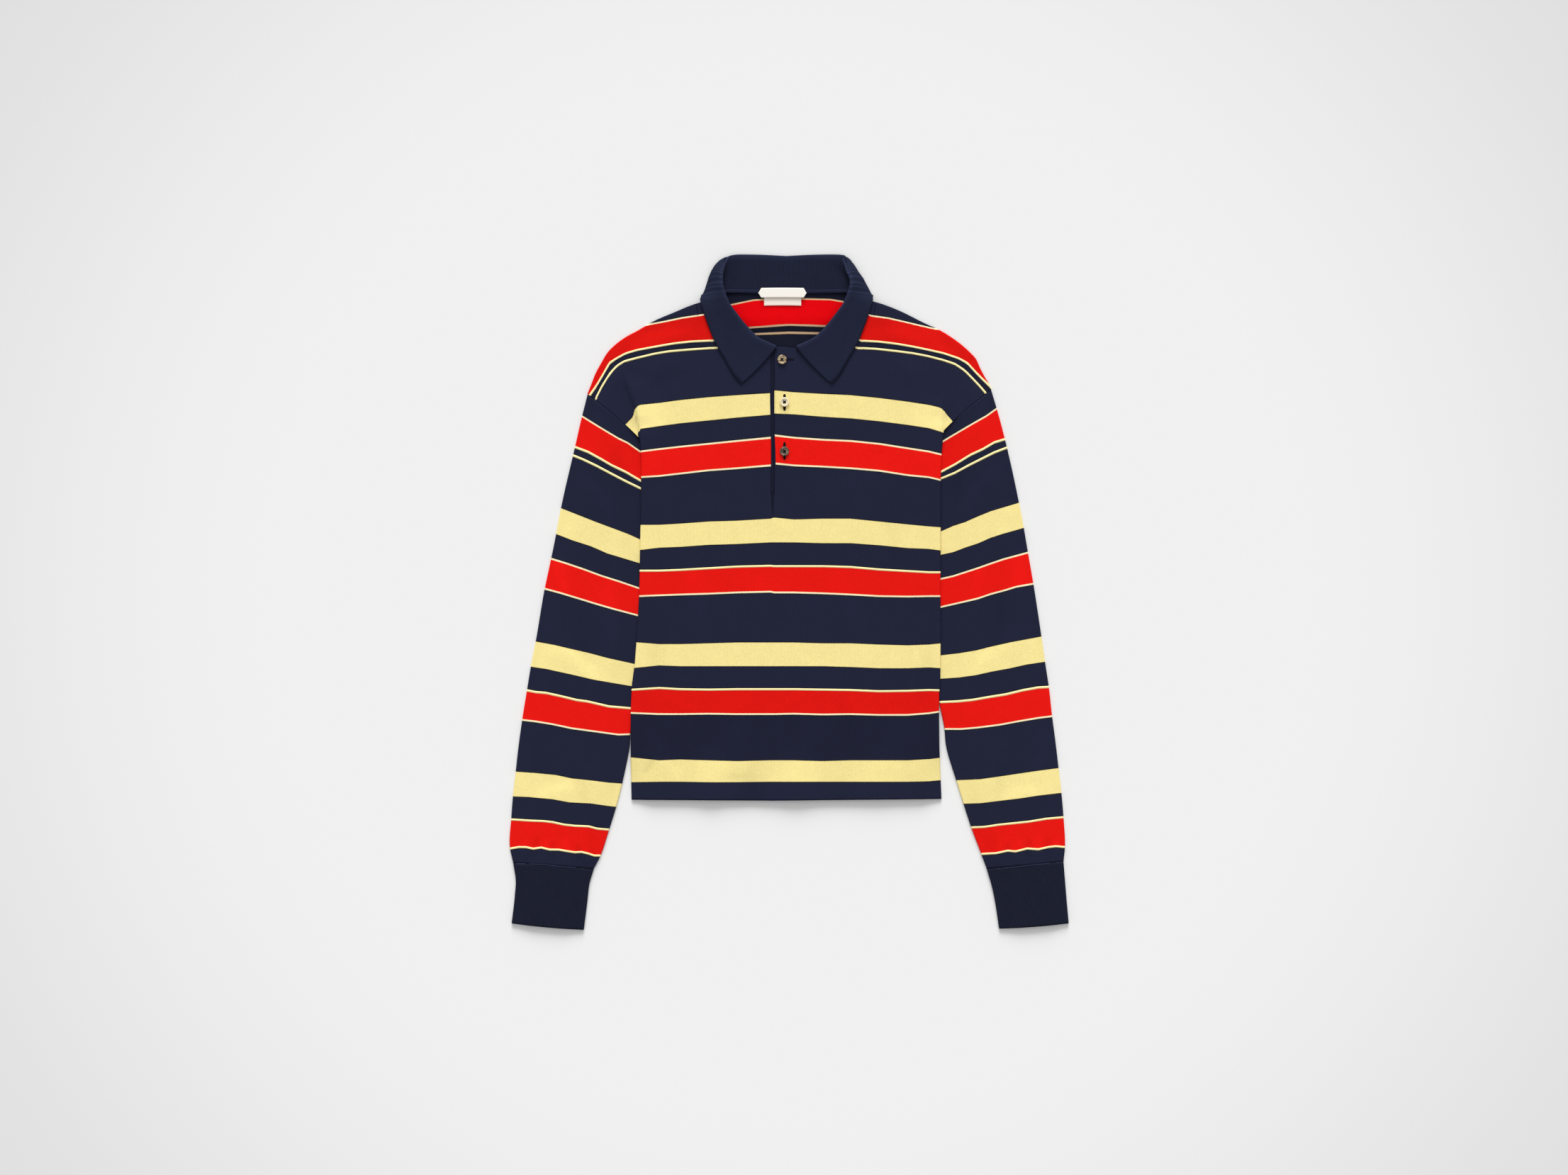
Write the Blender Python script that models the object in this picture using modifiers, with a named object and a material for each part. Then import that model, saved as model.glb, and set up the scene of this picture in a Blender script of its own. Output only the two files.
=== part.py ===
"""Long-sleeved rugby shirt, laid flat on its back with its collar open.

The shirt is built as a maker cuts it: a back panel on the surface, a front panel
over it with a slit placket, two flattened sleeve tubes whose inner edges run under
the body, ribbed cuffs, a folded rib collar, the strip behind the slit, three
buttons and a blank neck label.

Axes: +Y from the hem to the collar, +Z up, the resting underside at z = 0 and the
origin on the centre line.  Sizes below are in millimetres; MM turns them into metres.
"""
import math
from collections import namedtuple

import bpy
import numpy as np

MM = 0.001
MERGE = 0.00002          # points nearer than this, in metres, are joined

# ---------------------------------------------------------------- driving sizes
CLOTH = 1.2              # wall of the jersey panels
RIB = 1.6                # wall of the ribbed collar and cuffs
SEAM = 0.3               # gap between neighbouring pieces
REST_GAP = 0.4           # gap between two layers pressed together
AIR = 3.2                # gap between front and back in the middle of the body
SOFT_EDGE = 30.0         # width over which a panel sinks towards its folded edge
ROLL = 2.0               # radius of the fold along the sides and shoulders
TUCK_LIFT = 3.2          # how far the body's side is raised by the sleeve under it
TUCK_MARGIN = 3.0        # how far past the tucked edge the body stays raised
TUCK_PRESS = 2.0         # how far past its tucked edge the sleeve stays pressed
TUCK_RAMP = 28.0         # width of the slope beside the tucked sleeve
PART_RAMP = 60.0         # length of the slope below where the sleeve leaves the body
ARMPIT_REACH = 27.0      # how far above the armpit the body has come down again
ARMPIT_RAMP = 25.0       # length of that slope
PRESSED = 2.7            # height of the sleeve where the body lies on it
LIFT_SHARE = 0.85        # share of a lift of the back that the air above it gives up
BACK_INSET = 1.8         # how far the back's edge stays inside the front's rolled edge
NECK_LIFT = 2.3          # how far the back's neck edge is raised by the collar fall
NECK_LIFT_Y, NECK_LIFT_RAMP = 309.0, 28.0      # where that lift starts, and its length
NECK_LIFT_X, NECK_LIFT_SIDE = 150.0, 38.0      # where it ends to the side, and its width
NECK_CLOSE_Y, NECK_CLOSE_RAMP = 305.0, 35.0    # where the front comes down on the back
NECK_SEAM = 0.6          # extra height of the front round the thick neck seam
NECK_SEAM_Y, NECK_SEAM_RAMP = 300.0, 20.0
NECK_SEAM_X, NECK_SEAM_SIDE = 160.0, 15.0
FOLD_RADIUS = 1.1        # middle of the rib wall round the collar's fold
COLLAR_CENTRE = 0.4      # x of the collar's centre line
DRAW_START, DRAW_RAMP = 80.0, 26.0             # where a drawn-in side starts, and its width
DRAW_RISE_Y, DRAW_RISE = 372.0, 1.1            # above this height the start comes nearer
DRAW_NEAREST = 50.0                            # to the centre line, but never past this

HEM_Y = -256.0           # hem at the centre line
NECK_Y = 300.0           # top of the slit at the neck
SLIT_X = -16.5           # centre of the placket slit
SLIT_END_Y = 92.0
SLIT_HALF = 2.0          # half the width of the open slit
SLIT_TAPER = 30.0        # length over which the slit closes
SLIT_END_SIDE_Y = 72.0   # height on the side edge that is level with the slit's end
ARMPIT_CENTRE_Y = 206.0  # height on the centre line that is level with the armpit
POINT_CENTRE_Y = 237.0   # height on the centre line that is level with the shoulder point

COLUMNS = [12.0, 25.0, 38.0, 52.0]        # places of a body panel's columns from its side
BACK_MIDDLE = [0.38, 0.5, 0.62]           # shares of the back's width with a column
LEFT_COLUMNS, RIGHT_COLUMNS = 3, 4        # further columns of the front's two halves
LOW_ROWS = 8             # rows of a body panel from the hem to the slit's end
HIGH_ROWS = 4            # from there to the armpit
ARM_ROWS = 5             # from the armpit to the shoulder point
SHOULDER_ROWS = 10       # from the shoulder point to the neck point
COLLAR_STATIONS = 19     # stations from a leaf's edge to the centre of the back
TUBE_TOP = [0.1, 0.27, 0.5]               # shares of a tube's width with a corner on top
TUBE_UNDER = [0.7, 0.5, 0.3]              # and underneath
TUBE_FLANK = 0.16        # share of the width between a tube's last two top corners
TUBE_EDGE = 0.1          # least share of the width that is pressed flat at its inner edge

STRIP_LEFT, STRIP_RIGHT = -33.0, 11.0     # the strip behind the slit
STRIP_BOTTOM, STRIP_TOP = 78.0, 296.0

BUTTON_RADIUS = 5.75
BUTTON_SIDES = 16
BUTTON_HOLE_RADIUS = 0.6
BUTTON_HOLE_OFFSET = 1.3
BUTTON_HOLE_SIDES = 6
BUTTON_PIN_LENGTH = 12.0

LABEL_WALL = 1.0
LABEL_CENTRE_X = -4.5
LABEL_HALF_WIDTH = 29.5
LABEL_POINT = 3.5        # length of the label's pointed ends
LABEL_BOTTOM, LABEL_TOP, LABEL_Z = 360.0, 372.0, 5.8
TAB_LEFT, TAB_RIGHT = -27.0, 18.5
TAB_BOTTOM, TAB_TOP, TAB_Z = 350.5, 361.0, 3.9

# ---------------------------------------------------------------- tables
Point = namedtuple("Point", "x y")
Section = namedtuple("Section", "outer_x outer_y inner_x inner_y tuck bow")
Station = namedtuple("Station", "seam fold mid edge")
Half = namedtuple("Half", "name side shoulder neck sleeve cuff slit_side")
Button = namedtuple("Button", "name x y")

# Side edge of the body, from the hem up to the armpit.
SIDE_L = [Point(-189.5, -255.0), Point(-190.5, -203.5), Point(-190.5, -147.0),
          Point(-189.0, -114.0), Point(-185.5, -88.5), Point(-182.5, -48.0),
          Point(-180.0, -2.5), Point(-178.5, 82.0), Point(-177.5, 156.5),
          Point(-179.5, 188.0)]
SIDE_R = [Point(190.5, -254.0), Point(189.8, -238.0), Point(188.7, -212.0),
          Point(187.8, -190.0), Point(187.4, -150.0), Point(187.6, -123.0),
          Point(188.9, -108.0), Point(189.5, -48.0), Point(189.0, -2.5),
          Point(189.5, 82.0), Point(189.5, 137.5), Point(190.5, 169.0),
          Point(193.0, 197.5)]

# Shoulder fold, from the shoulder point up to the neck point.
SHOULDER_L = [Point(-243.5, 242.5), Point(-239.0, 254.0), Point(-234.0, 267.0),
              Point(-227.0, 280.0), Point(-218.5, 294.0), Point(-209.5, 303.0),
              Point(-196.5, 312.5), Point(-182.5, 320.0), Point(-161.0, 332.5),
              Point(-138.5, 342.0), Point(-116.5, 351.0), Point(-103.5, 355.0),
              Point(-88.5, 356.5)]
SHOULDER_R = [Point(251.5, 248.0), Point(249.0, 254.0), Point(243.5, 263.5),
              Point(237.5, 275.0), Point(232.5, 286.0), Point(226.0, 293.0),
              Point(215.0, 303.0), Point(203.5, 311.5), Point(192.5, 318.5),
              Point(169.5, 329.5), Point(135.5, 346.0), Point(116.5, 353.0),
              Point(105.5, 356.0), Point(89.5, 357.5)]

# Front neck edge, from the neck point to the slit.
NECK_L = [Point(-88.5, 356.5), Point(-87.5, 348.0), Point(-82.5, 338.0),
          Point(-71.5, 325.5), Point(-56.5, 314.5), Point(-40.5, 305.0),
          Point(-26.0, 300.5), Point(-18.5, NECK_Y)]
NECK_R = [Point(89.5, 357.5), Point(88.5, 348.0), Point(83.5, 338.0),
          Point(72.5, 325.5), Point(57.5, 314.5), Point(41.5, 305.0),
          Point(27.0, 299.5), Point(14.0, 298.0), Point(0.0, 299.5),
          Point(-14.5, NECK_Y)]

# The back's own neck points, and how far its neck edge rises above their line.
BACK_NECK_POINTS = [Point(-86.0, 362.0), Point(87.0, 362.5)]
BACK_NECK_RISE = [Point(-86.0, 0.0), Point(-74.0, 5.0), Point(-50.0, 6.5),
                  Point(51.0, 6.5), Point(75.0, 5.0), Point(87.0, 0.0)]

# Sleeve sections, from the armhole seam down to the cuff seam.  tuck is how far
# the section goes on, unseen, under the body's side; bow lifts its middle.
SLEEVE_L = [
    Section(-243.5, 242.5, -179.5, 188.0, 21.0, 2.0),
    Section(-250.0, 216.0, -178.5, 171.5, 20.0, 2.0),
    Section(-258.5, 179.0, -177.5, 136.5, 19.0, 2.0),
    Section(-276.0, 102.5, -178.5, 63.5, 16.0, 0.5),
    Section(-282.0, 70.5, -179.0, 34.0, 15.0, 0.5),
    Section(-288.0, 41.0, -179.0, 5.0, 14.0, 0.5),
    Section(-296.0, 3.5, -181.0, -28.5, 12.0, 0.0),
    Section(-307.0, -61.0, -185.0, -88.5, 9.0, 0.5),
    Section(-313.0, -92.0, -189.0, -115.5, 8.0, 0.5),
    Section(-317.5, -119.5, -189.5, -143.5, 5.0, 0.0),
    Section(-323.5, -156.5, -191.0, -175.5, 0.0, 0.0),
    Section(-327.4, -184.5, -191.9, -190.0, 0.0, 0.0),
    Section(-331.5, -220.5, -201.0, -235.0, 0.0, 0.0),
    Section(-335.0, -251.5, -208.3, -263.5, 0.0, 0.0),
    Section(-337.0, -278.5, -216.5, -290.0, 0.0, 0.5),
    Section(-338.5, -314.0, -228.0, -324.5, 0.0, 0.5),
    Section(-334.5, -332.5, -236.0, -340.0, 0.0, 1.0)]
SLEEVE_R = [
    Section(251.5, 248.0, 193.0, 197.5, 21.0, 2.0),
    Section(258.5, 223.5, 193.0, 184.5, 20.0, 1.5),
    Section(268.0, 188.0, 189.5, 147.0, 19.0, 3.0),
    Section(285.5, 109.0, 190.5, 74.0, 16.0, 2.0),
    Section(291.5, 77.5, 189.5, 45.0, 15.0, 0.5),
    Section(296.5, 48.0, 189.5, 15.0, 13.0, 0.5),
    Section(303.0, 10.5, 189.5, -18.5, 11.0, 0.0),
    Section(313.0, -55.0, 190.5, -77.5, 7.0, 0.0),
    Section(317.5, -86.5, 190.0, -107.0, 5.0, -0.5),
    Section(322.0, -116.0, 189.8, -135.0, 2.0, -1.0),
    Section(326.0, -152.0, 194.0, -168.0, 0.0, -2.0),
    Section(329.9, -181.5, 196.2, -189.5, 0.0, -1.8),
    Section(334.0, -216.5, 208.6, -231.5, 0.0, -1.5),
    Section(337.5, -247.0, 217.5, -260.0, 0.0, -1.0),
    Section(340.0, -276.0, 227.0, -289.0, 0.0, 0.0),
    Section(341.8, -313.0, 239.2, -321.5, 0.0, 0.0),
    Section(340.0, -330.5, 246.0, -339.5, 0.0, 0.0)]

# Cuff sections, from the cuff seam to the open end.
CUFF_L = [Section(-334.5, -332.5, -236.0, -340.0, 0.0, 1.0),
          Section(-331.5, -352.5, -241.0, -357.5, 0.0, 0.0),
          Section(-332.5, -371.5, -243.5, -378.5, 0.0, 0.0),
          Section(-336.5, -406.5, -248.0, -414.5, 0.0, -1.0)]
CUFF_R = [Section(340.0, -330.5, 246.0, -339.5, 0.0, 0.0),
          Section(341.5, -349.5, 251.5, -358.5, 0.0, 0.0),
          Section(343.5, -374.0, 256.0, -379.5, 0.0, 0.0),
          Section(346.4, -406.5, 261.1, -413.0, 0.0, -1.0)]

# Collar stations, from the leaf's front edge round to the centre of the back.
# Each gives four places on the middle of the rib wall, with x from the collar's
# centre line: the neck seam, the fold, the middle of the fall and its outer edge.
COLLAR = [
    Station((-11.5, 297.5, 7.0), (-12.5, 301.0, 8.1), (-32.5, 276.5, 7.3), (-55.5, 255.0, 6.9)),
    Station((-25.0, 296.5, 7.0), (-23.0, 305.5, 8.3), (-45.0, 285.5, 7.6), (-65.0, 266.0, 6.9)),
    Station((-41.5, 302.0, 7.0), (-36.0, 312.5, 8.6), (-57.0, 297.5, 8.2), (-76.0, 285.5, 6.9)),
    Station((-58.0, 312.5, 7.0), (-49.0, 325.5, 9.3), (-70.0, 314.0, 8.9), (-87.5, 305.5, 7.1)),
    Station((-73.5, 323.5, 7.1), (-59.5, 338.5, 10.6), (-78.5, 330.5, 9.8), (-95.5, 325.5, 7.3)),
    Station((-85.0, 336.0, 7.0), (-69.0, 351.5, 12.0), (-87.5, 343.5, 10.2), (-100.5, 339.5, 7.2)),
    Station((-88.5, 341.0, 6.9), (-72.0, 358.0, 12.6), (-92.0, 351.5, 9.8), (-104.0, 351.0, 7.2)),
    Station((-89.5, 345.0, 6.9), (-74.0, 362.5, 12.9), (-94.5, 358.0, 9.2), (-106.0, 358.5, 5.9)),
    Station((-90.0, 348.5, 6.8), (-75.5, 367.0, 13.1), (-97.0, 364.5, 7.2), (-107.5, 363.0, 3.0)),
    Station((-90.0, 351.5, 6.9), (-77.0, 372.0, 13.2), (-100.0, 369.0, 4.4), (-106.0, 359.0, 1.0)),
    Station((-89.5, 354.5, 6.8), (-78.5, 378.5, 13.0), (-101.0, 373.5, 2.8), (-100.0, 350.0, 0.92)),
    Station((-85.0, 360.0, 6.1), (-81.5, 393.8, 11.0), (-97.1, 386.9, 2.8), (-89.0, 342.5, 0.92)),
    Station((-77.0, 365.0, 5.2), (-78.4, 408.0, 6.1), (-86.0, 396.6, 1.1), (-72.0, 344.0, 0.92)),
    Station((-64.0, 366.0, 4.6), (-69.9, 412.3, 3.4), (-64.9, 393.8, 1.0), (-57.0, 347.0, 0.92)),
    Station((-36.0, 365.5, 4.6), (-38.0, 412.7, 2.3), (-36.0, 382.0, 0.92), (-32.5, 350.5, 0.92)),
    Station((0.0, 365.0, 4.6), (0.0, 411.0, 2.1), (0.0, 382.0, 0.92), (0.0, 352.5, 0.92))]

# Half of a button's section from its top centre round to its bottom centre.
BUTTON_PROFILE = [(0.0, 1.9), (3.65, 1.9), (4.35, 2.5), (5.25, 2.5),
                  (BUTTON_RADIUS, 1.8), (BUTTON_RADIUS, 0.9), (4.75, 0.0), (0.0, 0.0)]

BUTTONS = [Button("button_1", -5.0, 284.5), Button("button_2", -2.0, 232.5),
           Button("button_3", -2.0, 172.0)]

LEFT = Half("l", SIDE_L, SHOULDER_L, NECK_L, SLEEVE_L, CUFF_L, -1.0)
RIGHT = Half("r", SIDE_R, SHOULDER_R, NECK_R, SLEEVE_R, CUFF_R, 1.0)

# How far each side of the collar is drawn in from those stations, at each height.
DRAWN_L = ((358.0, 0.0), (362.0, 2.8), (384.0, 3.4), (398.0, 4.0), (404.5, 5.3), (409.0, 6.0),
           (414.0, 7.3))
DRAWN_R = ((358.0, 0.0), (362.0, 1.3), (370.0, 1.4), (377.0, 3.3), (384.0, 5.0), (391.0, 7.8),
           (398.0, 8.5), (404.5, 9.1), (409.0, 7.2), (414.0, 0.0))

# ---------------------------------------------------------------- colours
NAVY = (0.013, 0.018, 0.040)
COLLAR_NAVY = (0.015, 0.024, 0.058)
RED = (0.75, 0.010, 0.006)
HORN = (0.30, 0.20, 0.09)
SATIN = (0.84, 0.80, 0.70)

# ---------------------------------------------------------------- scene helpers


def clear_scene():
    """Remove every object of the opened scene."""
    for thing in list(bpy.data.objects):
        bpy.data.objects.remove(thing, do_unlink=True)


def make_collection(name):
    """A new collection of this name under the scene's own."""
    group = bpy.data.collections.new(name)
    bpy.context.scene.collection.children.link(group)
    return group


def make_material(name, colour, roughness, metallic=0.0):
    """A Principled material of one colour."""
    material = bpy.data.materials.new(name)
    material.use_nodes = True
    shader = material.node_tree.nodes["Principled BSDF"]
    shader.inputs["Base Color"].default_value = (*colour, 1.0)
    shader.inputs["Roughness"].default_value = roughness
    shader.inputs["Metallic"].default_value = metallic
    return material


def add_mesh(name, points, faces, material, group, edges=()):
    """A smooth-shaded mesh object from points in millimetres and its faces or edges."""
    mesh = bpy.data.meshes.new(name)
    mesh.from_pydata((np.asarray(points) * MM).tolist(), list(edges), faces)
    mesh.update()
    mesh.shade_smooth()
    thing = bpy.data.objects.new(name, mesh)
    thing.data.materials.append(material)
    group.objects.link(thing)
    return thing


def thicken(thing, wall, offset):
    """Give an open surface its wall; offset -1 puts it under the surface, 0 round it."""
    solid = thing.modifiers.new("Wall", "SOLIDIFY")
    solid.thickness = wall * MM
    solid.offset = offset


# ---------------------------------------------------------------- curves and fields


def smooth(value):
    """Rise from 0 to 1 with level ends while value goes from 0 to 1."""
    share = np.clip(value, 0.0, 1.0)
    return share * share * (3.0 - 2.0 * share)


def curve(knots, shares):
    """Points of a smooth line through the knots, at shares of its length."""
    knots = np.asarray(knots, dtype=float)
    steps = np.linalg.norm(np.diff(knots, axis=0), axis=1)
    at = np.concatenate([[0.0], np.cumsum(steps)]) / steps.sum()
    slopes = np.gradient(knots, at, axis=0)
    shares = np.asarray(shares, dtype=float)
    i = np.clip(np.searchsorted(at, shares, side="right") - 1, 0, len(at) - 2)
    width = (at[i + 1] - at[i])[:, None]
    f = (shares - at[i])[:, None] / width
    return ((2 * f**3 - 3 * f**2 + 1) * knots[i] + (f**3 - 2 * f**2 + f) * width * slopes[i]
            + (3 * f**2 - 2 * f**3) * knots[i + 1] + (f**3 - f**2) * width * slopes[i + 1])


def edge_distance(points, knots):
    """Distance from each plan point to a broken line."""
    line = np.asarray(knots, dtype=float)
    start, span = line[:-1], np.diff(line, axis=0)
    offset = points[:, None, :] - start[None, :, :]
    share = np.clip((offset * span).sum(2) / (span * span).sum(1), 0.0, 1.0)
    gap = offset - share[:, :, None] * span
    return np.sqrt((gap * gap).sum(2)).min(1)


def section_line(section, along):
    """Plan points of a sleeve section; along is 0 at its outer end, 1 at the body's side."""
    outer = np.array([section.outer_x, section.outer_y])
    span = np.array([section.inner_x, section.inner_y]) - outer
    across = np.array([-span[1], span[0]]) / np.hypot(*span)
    across *= np.sign(across[1])
    along = np.asarray(along, dtype=float)[:, None]
    return outer + span * along + across * section.bow * 4.0 * along * (1.0 - along)


def side_lift(half, points):
    """How far the sleeve tucked under one side raises the body, in millimetres."""
    rows = np.array([(row.inner_y, row.tuck) for row in reversed(half.sleeve)])
    side = np.array(half.side)
    x, y = points[:, 0], points[:, 1]
    inward = -half.slit_side * (x - np.interp(y, side[:, 1], side[:, 0]))
    tuck = np.interp(y, rows[:, 0], rows[:, 1])
    armpit_y = side[-1, 1]
    parted_y = max(row.inner_y for row in half.sleeve if row.tuck == 0.0)
    under_arm = smooth((armpit_y + ARMPIT_REACH - y) / ARMPIT_RAMP)
    above_parting = smooth((y - parted_y + PART_RAMP) / PART_RAMP)
    beside = 1.0 - smooth((inward - tuck - TUCK_MARGIN) / TUCK_RAMP)
    return TUCK_LIFT * under_arm * above_parting * beside


def back_underside(points):
    """Height of the back panel's underside over each plan point."""
    neck = (smooth((points[:, 1] - NECK_LIFT_Y) / NECK_LIFT_RAMP)
            * smooth((NECK_LIFT_X - np.abs(points[:, 0])) / NECK_LIFT_SIDE))
    return side_lift(LEFT, points) + side_lift(RIGHT, points) + NECK_LIFT * neck


def front_top(points):
    """Height of the front panel's outer face over each plan point, before its rolled edge."""
    edge = np.minimum.reduce([edge_distance(points, line)
                              for line in (SIDE_L, SIDE_R, SHOULDER_L, SHOULDER_R)])
    below_neck = 1.0 - smooth((points[:, 1] - NECK_CLOSE_Y) / NECK_CLOSE_RAMP)
    seam = (smooth((points[:, 1] - NECK_SEAM_Y) / NECK_SEAM_RAMP)
            * smooth((NECK_SEAM_X - np.abs(points[:, 0])) / NECK_SEAM_SIDE))
    base = back_underside(points)
    room = np.clip(AIR - REST_GAP - LIFT_SHARE * base, 0.0, None)
    air = REST_GAP + room * smooth(edge / SOFT_EDGE) * below_neck + NECK_SEAM * seam
    return base + CLOTH + air + CLOTH


def roll_drop(distance):
    """How far the rolled edge has turned down at a distance in from the outline."""
    reach = np.clip(ROLL - distance, 0.0, ROLL)
    return ROLL - np.sqrt(ROLL**2 - reach**2)


# ---------------------------------------------------------------- grids


def grid_faces(rows, columns, closed=False):
    """Quads of a rows by columns grid of points; closed joins its last column to its first."""
    faces = []
    for row in range(rows - 1):
        for column in range(columns if closed else columns - 1):
            other = (column + 1) % columns
            low, high = row * columns, (row + 1) * columns
            faces.append((low + column, low + other, high + other, high + column))
    return faces


def outline_rows(half):
    """Outer ends of a body panel's rows with their height on the centre line and roll."""
    side = np.array(half.side)
    low, high = np.linspace(0, 1, LOW_ROWS), np.linspace(0, 1, HIGH_ROWS)[1:]
    side_y = np.concatenate([side[0, 1] + (SLIT_END_SIDE_Y - side[0, 1]) * low,
                             SLIT_END_SIDE_Y + (side[-1, 1] - SLIT_END_SIDE_Y) * high])
    edge = np.column_stack([np.interp(side_y, side[:, 1], side[:, 0]), side_y])
    arm = section_line(half.sleeve[0], np.linspace(1, 0, ARM_ROWS)[1:-1])
    top = curve(half.shoulder, np.linspace(0, 1, SHOULDER_ROWS))
    centre = np.concatenate([
        HEM_Y + (SLIT_END_Y - HEM_Y) * low,
        SLIT_END_Y + (ARMPIT_CENTRE_Y - SLIT_END_Y) * high,
        np.linspace(ARMPIT_CENTRE_Y, POINT_CENTRE_Y, ARM_ROWS)[1:-1],
        np.linspace(POINT_CENTRE_Y, NECK_Y, SHOULDER_ROWS)])
    collar_side = np.clip((len(top) - 1 - np.arange(len(top))) / 2.0, 0.0, 1.0)
    rolled = np.concatenate([np.ones(len(edge)), np.zeros(len(arm)), collar_side])
    return np.vstack([edge, arm, top]), centre, rolled


def shift_inward(half, points, inset):
    """Move the points of a half's outline towards the body, each by its own inset."""
    run = np.gradient(points, axis=0)
    inward = np.column_stack([run[:, 1], -run[:, 0]]) * -half.slit_side
    inward /= np.linalg.norm(inward, axis=1)[:, None]
    return points + inward * inset[:, None]


def panel_distances():
    """Distances in from the outline of the columns that form the rolled edge."""
    turn = np.radians([0.0, 30.0, 60.0, 90.0])
    return np.concatenate([ROLL * (1.0 - np.cos(turn)), COLUMNS])


def front_half(half, columns):
    """Points and faces of the front panel from one outline to the slit."""
    outer, centre_y, rolled = outline_rows(half)
    open_half = SLIT_HALF * np.clip((centre_y - SLIT_END_Y) / SLIT_TAPER, 0.0, 1.0)
    inner = np.column_stack([SLIT_X + half.slit_side * open_half, centre_y])
    near = panel_distances()
    rows = []
    armpit_row = LOW_ROWS + HIGH_ROWS - 2
    for i, (start, end) in enumerate(zip(outer, inner)):
        length = np.hypot(*(end - start))
        share = np.concatenate([near / length,
                                np.linspace(near[-1] / length, 1.0, columns + 1)[1:]])
        neck = curve(half.neck, share)
        chord = neck[0] + (neck[-1] - neck[0]) * share[:, None]
        bend = smooth((i - armpit_row) / (len(outer) - 1 - armpit_row))
        flat = start + (end - start) * share[:, None] + (neck - chord) * bend
        z = front_top(flat) - rolled[i] * roll_drop(share * length)
        rows.append(np.column_stack([flat, z]))
    faces = grid_faces(len(rows), rows[0].shape[0])
    if half.slit_side > 0:
        faces = [face[::-1] for face in faces]
    return np.vstack(rows), faces


def make_front(material, group):
    """The front panel: two halves that meet below the slit."""
    left, left_faces = front_half(LEFT, LEFT_COLUMNS)
    right, right_faces = front_half(RIGHT, RIGHT_COLUMNS)
    shift = len(left)
    faces = left_faces + [tuple(v + shift for v in face) for face in right_faces]
    front = add_mesh("front", np.vstack([left, right]), faces, material, group)
    weld = front.modifiers.new("Centre", "WELD")
    weld.merge_threshold = MERGE
    thicken(front, CLOTH, -1.0)
    return front


def make_back(material, group):
    """The back panel, inset where the front rolls over its edge."""
    ends = []
    for half in (LEFT, RIGHT):
        outer, _, rolled = outline_rows(half)
        ends.append(shift_inward(half, outer, BACK_INSET * np.maximum(rolled, 0.1)))
    left, right = ends
    left[-1], right[-1] = BACK_NECK_POINTS
    point_row = len(left) - SHOULDER_ROWS
    rows = []
    for i, (start, end) in enumerate(zip(left, right)):
        near = np.array([0.0, *COLUMNS]) / np.hypot(*(end - start))
        share = np.concatenate([near, BACK_MIDDLE, 1.0 - near[::-1]])
        flat = start + (end - start) * share[:, None]
        bend = smooth((i - point_row) / (len(left) - 1 - point_row))
        flat[:, 1] += bend * np.interp(flat[:, 0], *np.array(BACK_NECK_RISE).T)
        rows.append(np.column_stack([flat, back_underside(flat) + CLOTH]))
    back = add_mesh("back", np.vstack(rows), grid_faces(len(rows), len(share)), material, group)
    thicken(back, CLOTH, -1.0)
    return back


def tube_ring(section, edge_height, middle_height):
    """Outer loop of a flattened tube across one section."""
    visible = math.hypot(section.inner_x - section.outer_x, section.inner_y - section.outer_y)
    length = visible + section.tuck
    radius = edge_height / 2.0
    turn = np.radians([-45.0, 0.0, 45.0])
    arc = radius * (1.0 - np.cos(turn))
    pressed = section.tuck + (TUCK_PRESS if section.tuck > 0 else 0.0)
    flat_end = length - max(pressed, TUBE_EDGE * length)
    top = np.concatenate([[radius], length * np.array(TUBE_TOP),
                          [flat_end - TUBE_FLANK * length, flat_end, length - radius]])
    rise = smooth(top / SOFT_EDGE) * smooth((length - top - pressed) / SOFT_EDGE)
    top_z = edge_height + (middle_height - edge_height) * rise
    bottom = np.concatenate([[length - radius], length * np.array(TUBE_UNDER), [radius]])
    distance = np.concatenate([arc, top, length - arc[::-1], bottom])
    z = np.concatenate([radius * (1 + np.sin(turn)), top_z,
                        radius * (1 + np.sin(turn[::-1])), np.zeros(len(bottom))])
    plan = section_line(section, distance / visible)
    return np.column_stack([plan, z])


def make_tube(name, sections, wall, heights, material, group):
    """A flattened open tube lofted through its sections."""
    rings = [tube_ring(section, *heights) for section in sections]
    faces = grid_faces(len(rings), len(rings[0]), closed=True)
    if sections[0].outer_x < 0:
        faces = [face[::-1] for face in faces]
    tube = add_mesh(name, np.vstack(rings), faces, material, group)
    thicken(tube, wall, -1.0)
    return tube


def lowered(section, drop):
    """The same section moved down by drop, towards the hand."""
    return section._replace(outer_y=section.outer_y - drop, inner_y=section.inner_y - drop)


def make_sleeve(half, material, group):
    """A sleeve from its armhole seam to its cuff seam."""
    sections = [lowered(half.sleeve[0], 3.2 * SEAM), *half.sleeve[1:]]
    heights = (PRESSED, 2.0 * CLOTH + AIR)
    return make_tube("sleeve_" + half.name, sections, CLOTH, heights, material, group)


def make_cuff(half, material, group):
    """A ribbed cuff from its seam to its open end."""
    sections = [lowered(half.cuff[0], 2.0 * SEAM), *half.cuff[1:]]
    heights = (2.0 * RIB + REST_GAP, 2.0 * RIB + 2.2)
    return make_tube("cuff_" + half.name, sections, RIB, heights, material, group)


# ---------------------------------------------------------------- collar


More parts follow.
